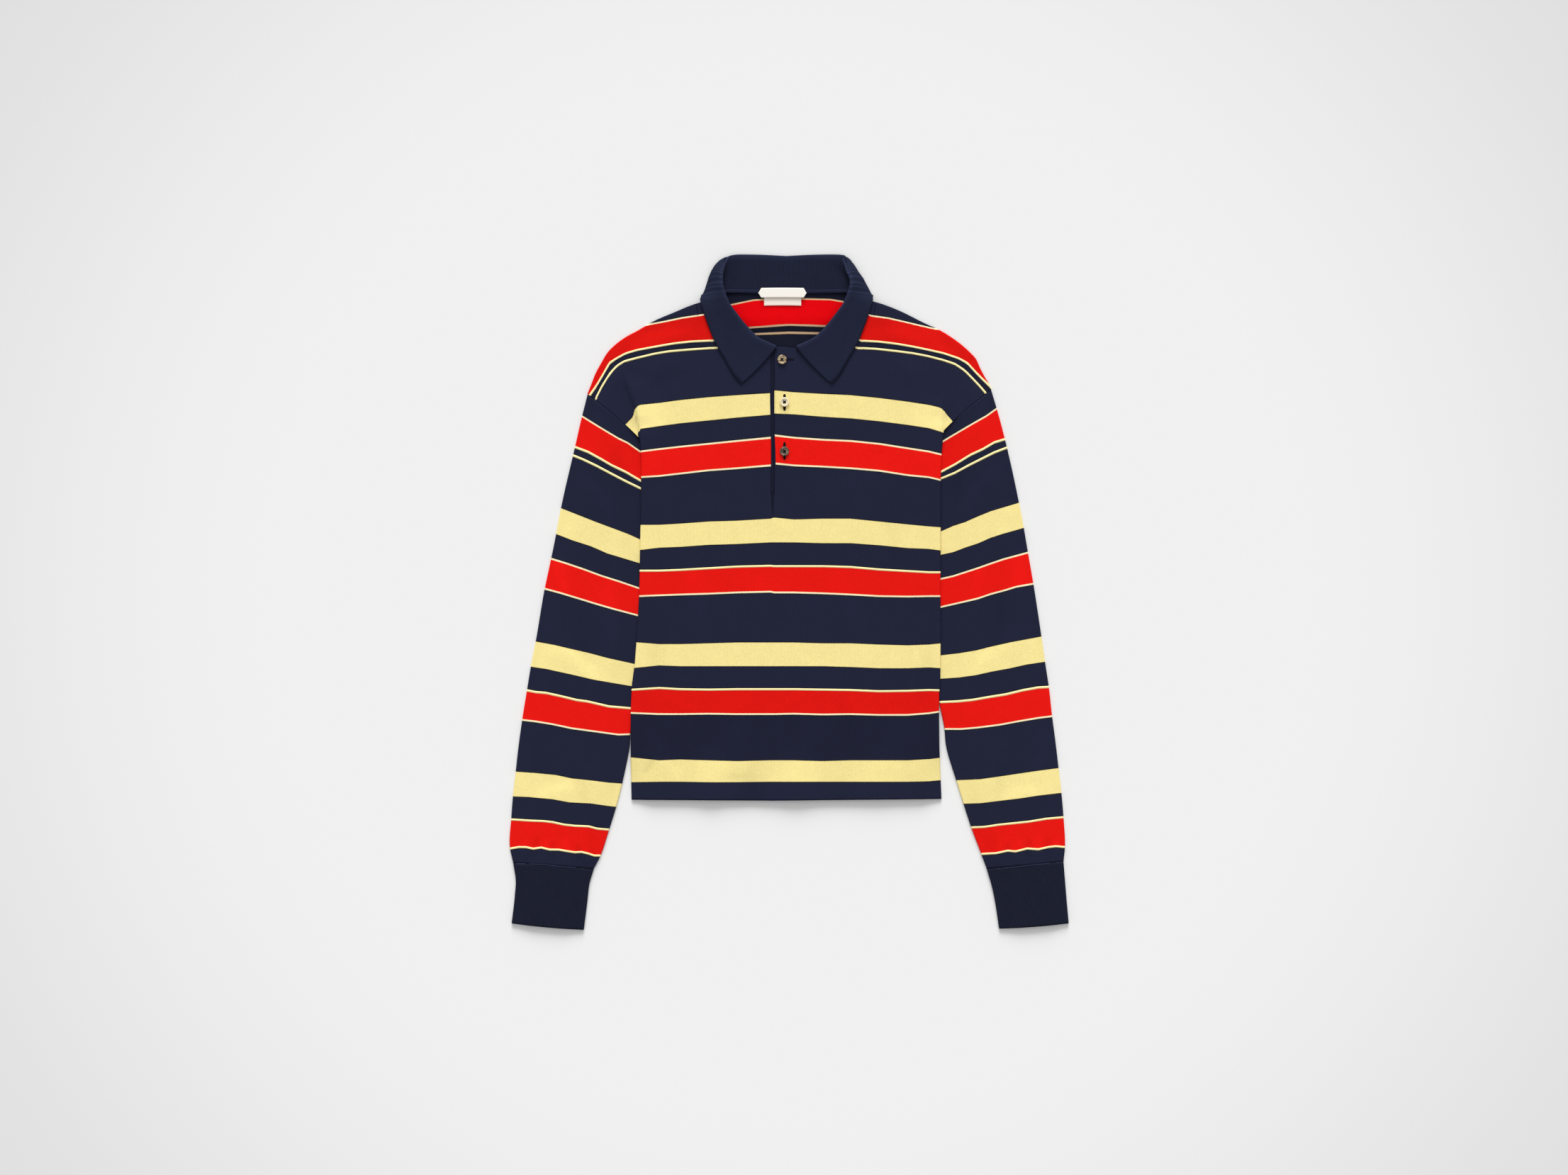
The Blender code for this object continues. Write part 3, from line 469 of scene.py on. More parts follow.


# The third item of each row is painted light and shade of the yarn below the line.
UPPER_LINES = make_lines(
    ("yoke_top", Edge.TO_RED, 0.86,
     (-210, 329.4, -182.5, 324.8, -168.5, 327.5, -148, 331.3, -128, 335.4, -101, 339.3,
      -68.5, 351.4, -40, 357.3, 3.5, 359.1, 54, 358, 70.5, 355.4, 103.5, 338.1, 126, 335,
      149, 329.8, 168, 325.3, 184, 321.7, 194, 323.2, 215, 326.5)),
    ("yoke_upper", Edge.TO_NAVY_RAISED, 0.85,
     (-242, 239, -232.5, 252.2, -222.5, 269.5, -217.5, 279.5, -208, 285.9, -196.5, 292.1,
      -182.5, 296.2, -161, 300.1, -138.5, 304, -116.5, 306.5, -88.5, 307.8, -49.5, 323.5,
      3.5, 327.3, 58.5, 325.4, 91.5, 307.5, 113, 306.4, 135.5, 303.7, 155, 300.3, 173, 296.6,
      192.5, 292.3, 211.5, 286, 222.5, 280, 229.5, 271.9, 239, 262.1, 251.5, 250)),
    ("yoke_lower", Edge.TO_NAVY_RAISED, 1.08,
     (-234, 233.6, -229.5, 245.1, -222.5, 257.1, -216.5, 266.6, -208, 276.3, -198.5, 282.3,
      -182.5, 286.5, -161, 291.6, -143.5, 294.5, -116.5, 296.8, -83.5, 299, -40, 315.9, 3.5, 317.7,
      49.5, 316.8, 87, 298.6, 109.5, 297.6, 135.5, 294.7, 155, 292.2, 173, 288.8, 192.5, 283.8,
      207, 279, 218.5, 271.3, 228, 261.8, 237.5, 251.8, 243.5, 244.8)),
    ("chest_top", Edge.YELLOW_TOP, 1,
     (-196.5, 204.5, -186.3, 215.3, -185.6, 223, -183, 226.8, -179, 228.7, -155.5, 231.2,
      -129.5, 234.7, -95, 238.2, -60, 240.7, -18.5, 243.2, -15.5, 246.7, 9.5, 244.2, 44.5, 242.2,
      79, 240.7, 114, 237.2, 149, 232.7, 175, 228.7, 189.5, 225.2, 193, 222.5, 195.6, 218,
      203.5, 208.5)),
    ("chest_end", Edge.YELLOW_END, 1,
     (-196, 184, -181.2, 186, -180.4, 198.5, -179, 199.5, -155.5, 203, -129.5, 206.5, -95, 210,
      -60, 213.5, -18.5, 217, -15.5, 218.5, 9.5, 217.5, 44.5, 214.5, 79, 212.5, 114, 209,
      149, 204.5, 175, 200.5, 189.5, 196)))

# Lines that cross the body from side to side, by their heights at its columns, each with
# the painted light and shade of the yarn below it.
LEVEL_LINES = (
    ("red_1_top", Edge.TO_RED, 1.03,
     (171.7, 174.7, 177.7, 181.2, 184.7, 188.7, 191.7, 188.7, 186.2, 184.7, 181.2, 175.7, 171.7,
      168.2)),
    ("red_1_end", Edge.TO_NAVY, 1,
     (140.3, 141.8, 144.8, 148.8, 151.3, 154.8, 157.3, 154.8, 153.3, 151.3, 148.3, 142.8, 140.3,
      136.8)),
    ("waist_top", Edge.YELLOW_TOP, 1,
     (81.9, 81.9, 83.4, 85.9, 86.9, 89.4, 90.9, 88.4, 89.4, 89.4, 85.9, 82.4, 79.9, 78.9)),
    ("waist_end", Edge.YELLOW_END, 1,
     (51.1, 54.1, 55.1, 57.6, 58.6, 60.6, 60.6, 60.6, 59.6, 59.6, 57.1, 53.6, 52.6, 50.6)),
    ("red_2_top", Edge.TO_RED_RAISED, 0.98,
     (25.7, 25.7, 26.7, 28.7, 30.7, 31.7, 31.2, 31.2, 31.2, 30.2, 27.2, 25.2, 23.7, 23.7)),
    ("red_2_end", Edge.TO_NAVY, 1,
     (-5.4, -4.4, -3.4, -2.4, -0.9, 0.1, -0.9, -0.9, -1.9, -3.4, -5.4, -5.9, -5.4, -5.4)),
    ("hip_top", Edge.YELLOW_TOP, 1,
     (-62.3, -64.3, -64.3, -63.3, -62.3, -62.3, -62.3, -62.3, -63.3, -63.3, -64.8, -65.8, -64.8,
      -63.3)),
    ("hip_end", Edge.YELLOW_END, 1,
     (-92.6, -90.1, -91.1, -91.1, -91.1, -91.1, -91.1, -91.1, -91.1, -92.1, -93.6, -93.6, -92.6,
      -93.6)),
    ("red_3_top", Edge.TO_RED_RAISED, 0.92,
     (-119.5, -118, -119.5, -120, -119.5, -119.5, -119.5, -119.5, -120, -120.5, -122, -121.5,
      -120.5, -121)),
    ("red_3_end", Edge.TO_NAVY, 0.86,
     (-148.9, -149.9, -149.9, -149.4, -149.9, -149.9, -149.9, -149.4, -150.4, -149.9, -150.9,
      -150.9, -148.8, -146.6)),
    ("hem_top", Edge.YELLOW_TOP, 0.96,
     (-204.1, -206.6, -205.6, -206.6, -207.6, -206.6, -206.6, -206.6, -207.6, -206.6, -206.6,
      -206.6, -205.2, -203.4)),
    ("hem_end", Edge.YELLOW_END, 1,
     (-233.2, -232.7, -232.7, -233.2, -233.2, -232.7, -232.7, -232.7, -232.7, -232.7, -232.7,
      -232.7, -232.2, -230.9)))

BODY_LINES = UPPER_LINES + tuple(
    Line(name, tuple(zip(BODY_COLUMNS, heights)), *edge.value, light)
    for name, edge, light, heights in LEVEL_LINES)

# Lines across a sleeve, from the armhole seam down; both sleeves have the same kinds.
SLEEVE_KINDS = (
    ("red_1_top", Edge.TO_RED), ("red_1_end", Edge.TO_NAVY_BROAD),
    ("under_red", Edge.TO_NAVY_BROAD), ("yellow_1_top", Edge.YELLOW_TOP),
    ("yellow_1_end", Edge.YELLOW_END), ("red_2_top", Edge.TO_RED), ("red_2_end", Edge.TO_NAVY),
    ("yellow_2_top", Edge.YELLOW_TOP), ("yellow_2_end", Edge.YELLOW_END),
    ("red_3_top", Edge.TO_RED_BROAD), ("red_3_end", Edge.TO_NAVY),
    ("yellow_3_top", Edge.YELLOW_TOP), ("yellow_3_end", Edge.YELLOW_END),
    ("red_4_top", Edge.TO_RED_RAISED), ("red_4_end", Edge.TO_NAVY_RAISED))

SLEEVE_L_LINES = (
    (-250, 215.1, -238.5, 207.8, -222.5, 198, -205.5, 187.9, -194, 182.4, -178.5, 171.5),
    (-258.5, 177.2, -242.5, 171.2, -227, 162.6, -214, 155, -196.5, 146.7, -177.5, 135.6),
    (-262, 167.4, -249.5, 162.4, -232.5, 154.3, -214, 144.5, -196.5, 135.4, -177.5, 126.2),
    (-276, 102.5, -233, 85.5, -211.5, 77.5, -194, 70.8, -178.5, 63.9),
    (-282, 70.9, -262, 63, -240, 56.1, -219, 46.9, -179, 34.9),
    (-288, 40.5, -269.5, 34.9, -248, 27.6, -226, 19.5, -204.5, 12.7, -179, 3.9),
    (-296, 3.7, -276.5, -1.5, -255, -8, -233, -14.8, -211.5, -21, -182, -28.9),
    (-307, -61.2, -283.5, -65.4, -262, -70.5, -240, -75.5, -219, -81.2, -186, -88.6),
    (-313, -91.8, -294, -94.5, -262.5, -101.4, -236.5, -107.5, -189, -115.7),
    (-317.5, -121, -307, -123, -294, -124, -275, -128.2, -256, -132.8, -243.5, -134.4, -230.5,
     -137.4, -217.5, -140.5, -189, -143.1),
    (-323.5, -157.1, -307, -158.9, -288, -161.9, -262.5, -167.3, -224.5, -172.4, -205.5, -175.1,
     -191.5, -174.7),
    (-331.5, -220.7, -307, -222.2, -282, -224.6, -262.5, -228.8, -236.5, -231.5, -217.5, -234,
     -202, -235.2),
    (-335, -250.8, -314, -251.5, -286, -254.1, -265.5, -257.9, -238.5, -259.3, -217.5, -262.5,
     -209, -263.5),
    (-337, -279.2, -314, -280.4, -297.5, -281, -286, -282.3, -272.5, -285.3, -258.5, -286.8, -242,
     -287.5, -231.5, -290.4, -216.5, -291.8),
    (-338.5, -315, -328, -313, -318.5, -313, -309.5, -314.9, -300, -313.4, -289.5, -316, -278.5,
     -316, -267, -318, -258.5, -319.3, -250.5, -318.9, -242, -321, -235, -323.5, -228, -323.5))

SLEEVE_R_LINES = (
    (193, 184.9, 211.5, 195.9, 229.5, 206.4, 245.5, 215.5, 258.5, 224.8),
    (189.5, 146.7, 207, 156, 226, 167.7, 241, 174.6, 255, 182.9, 268, 186.8),
    (189.5, 138.7, 207, 145.8, 222.5, 154.2, 239, 162.6, 255, 170.6, 271.5, 177),
    (190.5, 74.2, 204.5, 80.5, 219, 85.1, 235, 92.2, 250.5, 98.5, 285.5, 109),
    (189.5, 45.4, 204.5, 48.5, 219, 54.1, 235, 59.3, 250.5, 66.2, 266, 71.2, 291.5, 78.4),
    (189.5, 15.8, 204.5, 19.1, 235, 29, 250.5, 34.5, 266, 39.8, 296.5, 48),
    (189.5, -18.8, 219, -12, 235, -8.2, 250.5, -2.9, 266, 1.2, 282, 6.1, 303, 9.7),
    (190.5, -78, 211.5, -75.5, 232.5, -72, 250.5, -67.5, 274, -62.2, 313, -55),
    (190, -106.5, 211.5, -105, 232.5, -102.1, 250.5, -98, 274, -93.7, 294, -89.2, 317.5, -85.8),
    (190.5, -135.3, 209, -134.5, 228, -132.6, 249.5, -128.9, 269, -125.8, 290.5, -120.6, 309,
     -117.4, 322, -116.8),
    (195.5, -168.2, 214, -168.2, 235.5, -166.3, 262, -162.9, 285.5, -158.5, 309, -154.6, 326,
     -152.6),
    (209.5, -231.2, 237.5, -229.8, 262, -226.4, 285.5, -222.8, 309, -219.4, 334, -216.3),
    (217.5, -259.8, 237.5, -259, 262, -256, 285.5, -253.2, 309, -249.6, 337.5, -246.5),
    (227, -289, 242.5, -288.3, 259.5, -285.6, 276, -283.9, 297.5, -281.7, 318.5, -278.2, 340,
     -276.5),
    (238.5, -321.6, 256.5, -320.5, 271.5, -317.3, 281, -318.2, 295, -314.7, 309, -315.6, 321, -313,
     330.5, -312, 341.5, -313.1))


@dataclass(frozen=True)
class StripeField:
    """The stripes of one piece of jersey, as courses counted down from a top height."""

    lines: tuple[Line, ...]
    top: float
    # width of the painted shadow line beside each change of yarn
    outline: float = 0.9

    def _height(self, line: Line, x: Array) -> tuple[Array, Array]:
        """Height of a line over each x, and how much its slope widens it there."""
        table = np.array(line.points)
        slope = np.gradient(table[:, 1], table[:, 0])
        low, high = table[0], table[-1]
        y = np.interp(x, table[:, 0], table[:, 1])
        y += slope[0] * np.minimum(x - low[0], 0.0) + slope[-1] * np.maximum(x - high[0], 0.0)
        return y, np.hypot(1.0, np.interp(x, table[:, 0], slope))

    def level(self, name: str) -> float:
        """Course of the middle of the named line: the top less its mean height."""
        line = next(line for line in self.lines if line.name == name)
        return self.top - float(np.mean([y for _, y in line.points]))

    def edges(self) -> list[tuple[float, Yarn, float]]:
        """Courses at which a yarn starts, from the top down, with it and its lightness."""
        found = [(0.0, Yarn.NAVY, 1.0)]
        for line in self.lines:
            middle = self.level(line.name)
            if line.width:
                found.append((middle - line.width / 2, line.yarn, 1.0))
            found.append((middle + line.width / 2, line.below, line.light))
        return found

    def bands(self) -> list[tuple[float, Yarn, float]]:
        """The edges, with a painted shadow line on the navy side of each change of yarn."""
        found, above = [], None
        for course, yarn, light in self.edges():
            if above is Yarn.NAVY:
                found.append((course - self.outline, Yarn.OUTLINE, 1.0))
            if above is not None and yarn is Yarn.NAVY:
                found.append((course, Yarn.OUTLINE, 1.0))
                course += self.outline
            found.append((course, yarn, light))
            above = yarn
        return found

    def course(self, points: Array) -> Array:
        """How far down the cloth each plan point lies.

        The course is fixed on every line's edges.  Between two edges it goes evenly
        with y, and past the first and last it goes on at the true scale.

        Args:
            points: plan points.

        Returns:
            Courses in millimetres.
        """
        x, y = points[..., 0], points[..., 1]
        heights = []
        for line in self.lines:
            middle, widening = self._height(line, x)
            if line.width:
                heights.append(middle + line.width / 2 * widening)
            heights.append(middle - line.width / 2 * widening)
        courses = [course for course, _, _ in self.edges()][1:]
        result = courses[0] - np.maximum(y - heights[0], 0.0)
        for i in range(len(courses) - 1):
            depth = np.maximum(heights[i] - heights[i + 1], 1e-3)
            result += (courses[i + 1] - courses[i]) * np.clip((heights[i] - y) / depth, 0.0, 1.0)
        return result + np.maximum(heights[-1] - y, 0.0)


BODY_FIELD = StripeField(BODY_LINES, 420.0)
SLEEVE_FIELDS = {
    side: StripeField(make_lines(*((*kind, 1, row) for kind, row in zip(SLEEVE_KINDS, rows))), 300.0)
    for side, rows in (("l", SLEEVE_L_LINES), ("r", SLEEVE_R_LINES))}


# ------------------------ creases


@dataclass(frozen=True)
class Crease:
    """A soft trough (height under 0) or ridge along a bowed line in plan."""

    start: Point
    end: Point
    width: float
    height: float
    bow: float = 0.0
    faded: float = 0.35

    def lift(self, points: Array) -> Array:
        """Height it adds: a bell across the line, faded out towards both its ends."""
        span = np.subtract(self.end, self.start)
        offset = points - np.array(self.start)
        along = offset @ span / (span @ span)
        across = (offset @ np.array([-span[1], span[0]])) / np.hypot(*span)
        across = across - self.bow * 4.0 * along * (1.0 - along)
        fade = smooth(along / self.faded) * smooth((1.0 - along) / self.faded)
        return self.height * np.exp(-(across / self.width) ** 2) * fade


def make_creases(*rows: tuple[float, ...]) -> tuple[Crease, ...]:
    """Creases from rows of their two ends, width, height and bow."""
    return tuple(Crease(row[:2], row[2:4], *row[4:]) for row in rows)


@dataclass(frozen=True)
class ChestFold:
    """The crease beside an armhole: the chest rises to it and drops behind it."""

    points: tuple[Point, ...]
    inward: float
    height: float
    dark: float
    flank: float = 3.5
    reach: float = 22.0
    top_fade: float = 20.0
    low_fade: float = 60.0
    line_offset: float = 0.6
    line_width: float = 1.5
    shadow_width: float = 7.0
    shadow_share: float = 0.45

    def place(self, points: Array) -> tuple[Array, Array]:
        """How far inside the fold each plan point lies, and how strong the fold is there."""
        line = np.array(self.points)[::-1]
        x, y = points[..., 0], points[..., 1]
        inside = self.inward * (x - np.interp(y, line[:, 1], line[:, 0]))
        fade = (smooth((line[-1, 1] - y) / self.top_fade)
                * smooth((y - line[0, 1]) / self.low_fade + 1.0))
        return inside, fade

    def lift(self, points: Array) -> Array:
        """Height it adds: none outside, a short flank up, then a long soft fall inward."""
        inside, fade = self.place(points)
        fall = np.exp(-(np.maximum(inside - self.flank, 0.0) / self.reach) ** 2)
        return self.height * smooth(inside / self.flank) * fall * fade

    def shadow(self, points: Array) -> Array:
        """How much darker the yarn is: most in the fold, then less over its outer side."""
        inside, fade = self.place(points)
        edge = np.exp(-((inside + self.line_offset) / self.line_width) ** 2)
        side = np.exp(np.minimum(inside, 0.0) / self.shadow_width) * (inside < 0)
        return self.dark * np.maximum(edge, self.shadow_share * side) * fade


SHADE = 0.14                     # how much lighter each millimetre of ridge makes the yarn
DARKEST, LIGHTEST = -0.3, 0.05

FOLDS = (ChestFold(pairs(-203, 268, -197.9, 259.8, -191.3, 241.3, -185.6, 225.4, -183.2, 213,
                         -180.8, 200.5, -179.5, 188), 1.0, 1.3, 0.34),
         ChestFold(pairs(190.5, 242.5, 193, 228, 194.6, 218.5, 193.4, 209, 192.8, 197.5),
                   -1.0, 0.6, 0.12))

BODY_CREASES = make_creases(
    (-97, -352, -88, -178, 17, 1.7), (16, -360, 10, -184, 22, 1.8), (108, -350, 112, -190, 26, 0.7),
    (-43, -330, -40, -196, 9, -0.5), (-160, -204, -176, -228, 4.5, -0.45),
    (-92, -233, -36, -226, 6, -0.35), (-172, -190, -120, -248, 9, 0.35, 4),
    (-60, -150, -48, -240, 10, 0.3, -3), (24, -160, 8, -250, 9, 0.25, 4),
    (62, -120, 78, -215, 8, -0.3, 3), (140, -150, 128, -246, 11, 0.35, -5),
    (172, -60, 160, -160, 9, -0.3, 4), (-150, -20, -162, -120, 10, -0.3, -4),
    (-120, 60, -112, -70, 14, 0.3, 5), (-70, 10, 30, -16, 12, 0.25, 5),
    (60, 40, 96, -60, 13, 0.3, -5), (120, 120, 136, 10, 12, -0.3, 4),
    (-150, 150, -60, 118, 10, -0.25, -6), (50, 130, 140, 150, 11, 0.25, -5),
    (-186, 262, -120, 290, 9, 0.4, 3), (-176, 246, -110, 268, 8, -0.3, 4),
    (184, 262, 124, 284, 10, 0.35, -3), (172, 240, 110, 262, 8, -0.25, -4),
    (-228, 262, -176, 312, 4, -0.35, 3), (-190, 322, -140, 322, 7, -0.3),
    (232, 268, 178, 314, 5, -0.3, -3), (223, 288, 231, 281, 3, -0.5), (150, 332, 196, 306, 7, 0.3))

SLEEVE_CREASES = {
    "l": make_creases(
        (-309, -336, -305, -296, 3.2, -0.6), (-286, -338, -285, -302, 2.8, -0.5),
        (-253, -340, -256, -306, 3.2, -0.6), (-297, -338, -295, -300, 4, 0.5),
        (-270, -340, -271, -298, 5, 0.6), (-322, -334, -320, -300, 3.6, 0.4),
        (-242, -340, -246, -310, 3, 0.4), (-318, -262, -246, -238, 9, 0.5, 4),
        (-262, -210, -240, -300, 8, -0.4, 3), (-306, -170, -298, -240, 9, -0.35, -3),
        (-296, -60, -216, -128, 10, 0.5, 5), (-268, -10, -240, -110, 9, -0.4, 4),
        (-216, 30, -208, -90, 10, 0.4, -4), (-284, 60, -262, -30, 8, 0.4, -3),
        (-262, 150, -206, 70, 10, 0.5, 5), (-214, 176, -196, 100, 8, -0.5, 3),
        (-242, 220, -204, 170, 8, 0.5, 4)),
    "r": make_creases(
        (322, -334, 320, -298, 3, -0.5), (296, -336, 298, -300, 3.2, -0.6),
        (270, -338, 273, -304, 2.8, -0.5), (309, -334, 309, -296, 4.4, 0.5),
        (283, -338, 286, -300, 4.2, 0.5), (258, -338, 262, -306, 3.4, 0.4),
        (332, -330, 331, -300, 3.2, 0.4), (324, -244, 250, -262, 9, 0.45, -4),
        (268, -200, 262, -290, 8, -0.4, -3), (312, -160, 306, -236, 9, 0.4, 3),
        (302, -40, 222, -110, 10, 0.5, -5), (262, 10, 252, -96, 8, -0.5, 4),
        (236, 44, 226, -40, 7, 0.4, 3), (290, 70, 276, -20, 9, 0.4, 3),
        (270, 160, 216, 84, 10, 0.5, -5), (222, 170, 208, 100, 8, -0.45, -3),
        (252, 226, 216, 176, 8, 0.45, -4))}


def relief(creases: Sequence[Crease | ChestFold], points: Array) -> Array:
    """Sum of what the creases add to the height of each plan point."""
    return sum(crease.lift(points) for crease in creases)


def shading(creases: Sequence[Crease | ChestFold], points: Array) -> Array:
    """How light the yarn looks there: a little darker in a trough, lighter on a ridge."""
    light = 1.0 + np.clip(SHADE * relief(creases, points), DARKEST, LIGHTEST)
    for crease in creases:
        if isinstance(crease, ChestFold):
            light -= crease.shadow(points)
    return light


# ------------------------ grids into meshes


def lattice(*axes: Array) -> Array:
    """Grid of points from its x, y and z, each spread over the whole grid."""
    return np.stack(np.broadcast_arrays(*axes), axis=-1)


def full_turn(count: int) -> Array:
    """Even angles once round, without the last, which is the first again."""
    return np.linspace(0.0, 2 * np.pi, count, endpoint=False)


@dataclass
class Sheet:
    """A grid of points in millimetres, with the values that its finish reads there.

    A value is an array or a number, and is spread over the whole grid.
    """

    points: Array
    values: dict[str, Array | float] = field(default_factory=dict)
    closed: bool = False
    turned: bool = False

    def __post_init__(self) -> None:
        """Spread the values over the grid."""
        self.values = {key: np.broadcast_to(value, self.points.shape[:2])
                       for key, value in self.values.items()}

    def faces(self) -> Array:
        """Quads of the grid: each point with its right, upper right and upper neighbours."""
        rows, columns = self.points.shape[:2]
        index = np.arange(rows * columns).reshape(rows, columns)
        if self.closed:
            index = np.hstack([index, index[:, :1]])
        quads = np.stack([index[:-1, :-1], index[:-1, 1:], index[1:, 1:], index[1:, :-1]], axis=-1)
        quads = quads.reshape(-1, 4)
        return quads[:, ::-1] if self.turned else quads

    def normals(self) -> Array:
        """Outward direction at each point: across the row and column through it."""
        along_row = np.gradient(self.points, axis=1)
        along_column = np.gradient(self.points, axis=0)
        across = unit(np.cross(along_row, along_column))
        return -across if self.turned else across

    def trace(self, level: float) -> tuple[Array, Array]:
        """Follow a course across the sheet.

        In each column the two rows on both sides of the course are found, and the
        point between them is taken in proportion.

        Args:
            level: the course.

        Returns:
            The path's points and the directions out of the cloth there.
        """
        course, points, normals = self.values["course"], self.points, self.normals()
        if course[0].mean() < course[-1].mean():
            course, points, normals = course[::-1], points[::-1], normals[::-1]
        crossed = (course[:-1] >= level) & (course[1:] < level)
        columns = np.flatnonzero(crossed.any(axis=0))
        row = crossed.argmax(axis=0)[columns]
        first, second = course[row, columns], course[row + 1, columns]
        share = ((first - level) / (first - second))[:, None]
        path = points[row, columns] * (1 - share) + points[row + 1, columns] * share
        out = normals[row, columns] * (1 - share) + normals[row + 1, columns] * share
        return path, unit(out)


def add_piece(name: str, sheets: Sequence[Sheet], finish: Material) -> Object:
    """Join grids into one smooth-shaded object and merge the points that meet.

    Args:
        name: the piece's name.
        sheets: its grids.
        finish: its material.

    Returns:
        The object, at the origin.
    """
    counts = np.cumsum([0] + [sheet.points.shape[0] * sheet.points.shape[1] for sheet in sheets])
    faces = np.vstack([sheet.faces() + count for sheet, count in zip(sheets, counts)])
    points = np.vstack([sheet.points.reshape(-1, 3) for sheet in sheets]) * MM
    mesh = bpy.data.meshes.new(name)
    mesh.vertices.add(len(points))
    mesh.vertices.foreach_set("co", points.astype(np.float32).ravel())
    mesh.loops.add(faces.size)
    mesh.loops.foreach_set("vertex_index", faces.astype(np.int32).ravel())
    mesh.polygons.add(len(faces))
    mesh.polygons.foreach_set("loop_start", np.arange(0, faces.size, 4, dtype=np.int32))
    for key in sheets[0].values:
        layer = mesh.attributes.new(key, "FLOAT", "POINT")
        value = np.concatenate([sheet.values[key].ravel() for sheet in sheets])
        layer.data.foreach_set("value", value.astype(np.float32))
    mesh.update(calc_edges=True)
    build = bmesh.new()
    build.from_mesh(mesh)
    bmesh.ops.remove_doubles(build, verts=build.verts, dist=WELD)
    build.to_mesh(mesh)
    build.free()
    mesh.shade_smooth()
    thing = bpy.data.objects.new(name, mesh)
    mesh.materials.append(finish)
    bpy.context.scene.collection.objects.link(thing)
    return thing


def settle(thing: Object, slot: str, *nodes: str, wall: float = 0.0,
           offset: float = -1.0) -> Object:
    """Give an open sheet its wall, and fasten the piece to the shirt.

    Args:
        thing: the piece.
        slot: not used.
        nodes: the nodes it stands for.
        wall: how thick its wall is, or 0 for a closed shape.
        offset: -1 for a wall under the sheet, 0 for one round it.

    Returns:
        The piece.
    """
    if wall:
        solid = thing.modifiers.new("Wall", "SOLIDIFY")
        solid.thickness = wall * MM
        solid.offset = offset
    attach(thing, "root")
    if nodes:
        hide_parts(*nodes)
    log.info("%s: %d faces", thing.name, len(thing.data.polygons))
    return thing


@dataclass(frozen=True)
class Strand:
    """A tube of yarn along a path: its width, its rise above the path and its sink below."""

    width: float
    rise: float
    sink: float
    step: float = 0.8
    sides: int = 10
    taper: float = 1.2
    ply: float = 2.2
    twist: float = 0.08

    def sheet(self, path: Array, out: Array | None = None, loop: bool = False) -> Sheet:
        """Carry the strand's oval section along a path.

        The path is cut into even steps.  The oval is as wide as the strand, higher
        above the path than below it, and swells a little with each twist of the yarn.
        An open path's ends narrow to a point.

        Args:
            path: the path's points.
            out: the direction out of the cloth at each of them, or None for straight up.
            loop: whether the path comes back to its start.

        Returns:
            The closed tube as a grid, one row for each step.
        """
        at = lengths(path)
        count = max(int(at[-1] / self.step), 6) + 1
        along = np.linspace(0.0, at[-1], count)
        line = follow(path, at, along)
        up = np.array([[0.0, 0.0, 1.0]]) if out is None else unit(follow(out, at, along))
        run = unit(np.gradient(line, axis=0))
        side = unit(np.cross(run, up))
        up = np.cross(side, run)
        swell = 1.0 + self.twist * np.cos(2 * np.pi * along / self.ply)
        if not loop:
            end = np.minimum(along, at[-1] - along) / self.taper
            swell *= np.sqrt(np.clip(end * (2.0 - np.minimum(end, 1.0)), 0.0, 1.0))
        turn = full_turn(self.sides)
        wide = np.cos(turn) * self.width / 2 * swell[:, None]
        high = np.where(np.sin(turn) > 0, self.rise, self.sink) * np.sin(turn) * swell[:, None]
        points = line[:, None] + side[:, None] * wide[..., None] + up[:, None] * high[..., None]
        return Sheet(points, {"course": along[:, None], "across": turn}, closed=True)


# ------------------------ finishes


def arithmetic(operation: str, swapped: bool = False) -> Callable[["Signal", "Value"], "Signal"]:
    """A method for signals: one step of arithmetic, with the two values swapped or not."""
    def step(self: "Signal", other: "Value") -> "Signal":
        """Add the node of this step."""
        values = (other, self) if swapped else (self, other)
        return self.wires.math(operation, *values)
    return step


class Signal:
    """What a node puts out.  Arithmetic with it adds the nodes that work it out."""

    def __init__(self, wires: "Wiring", socket: bpy.types.NodeSocket) -> None:
        """Keep the socket and the wiring of its tree."""
        self.wires = wires
        self.socket = socket

    __add__ = arithmetic("ADD")
    __sub__ = arithmetic("SUBTRACT")
    __rsub__ = arithmetic("SUBTRACT", swapped=True)
    __mul__ = arithmetic("MULTIPLY")
    __truediv__ = arithmetic("DIVIDE")
    __gt__ = arithmetic("GREATER_THAN")


Value = Signal | float
Inputs = dict[str | int, Signal | float | Colour]


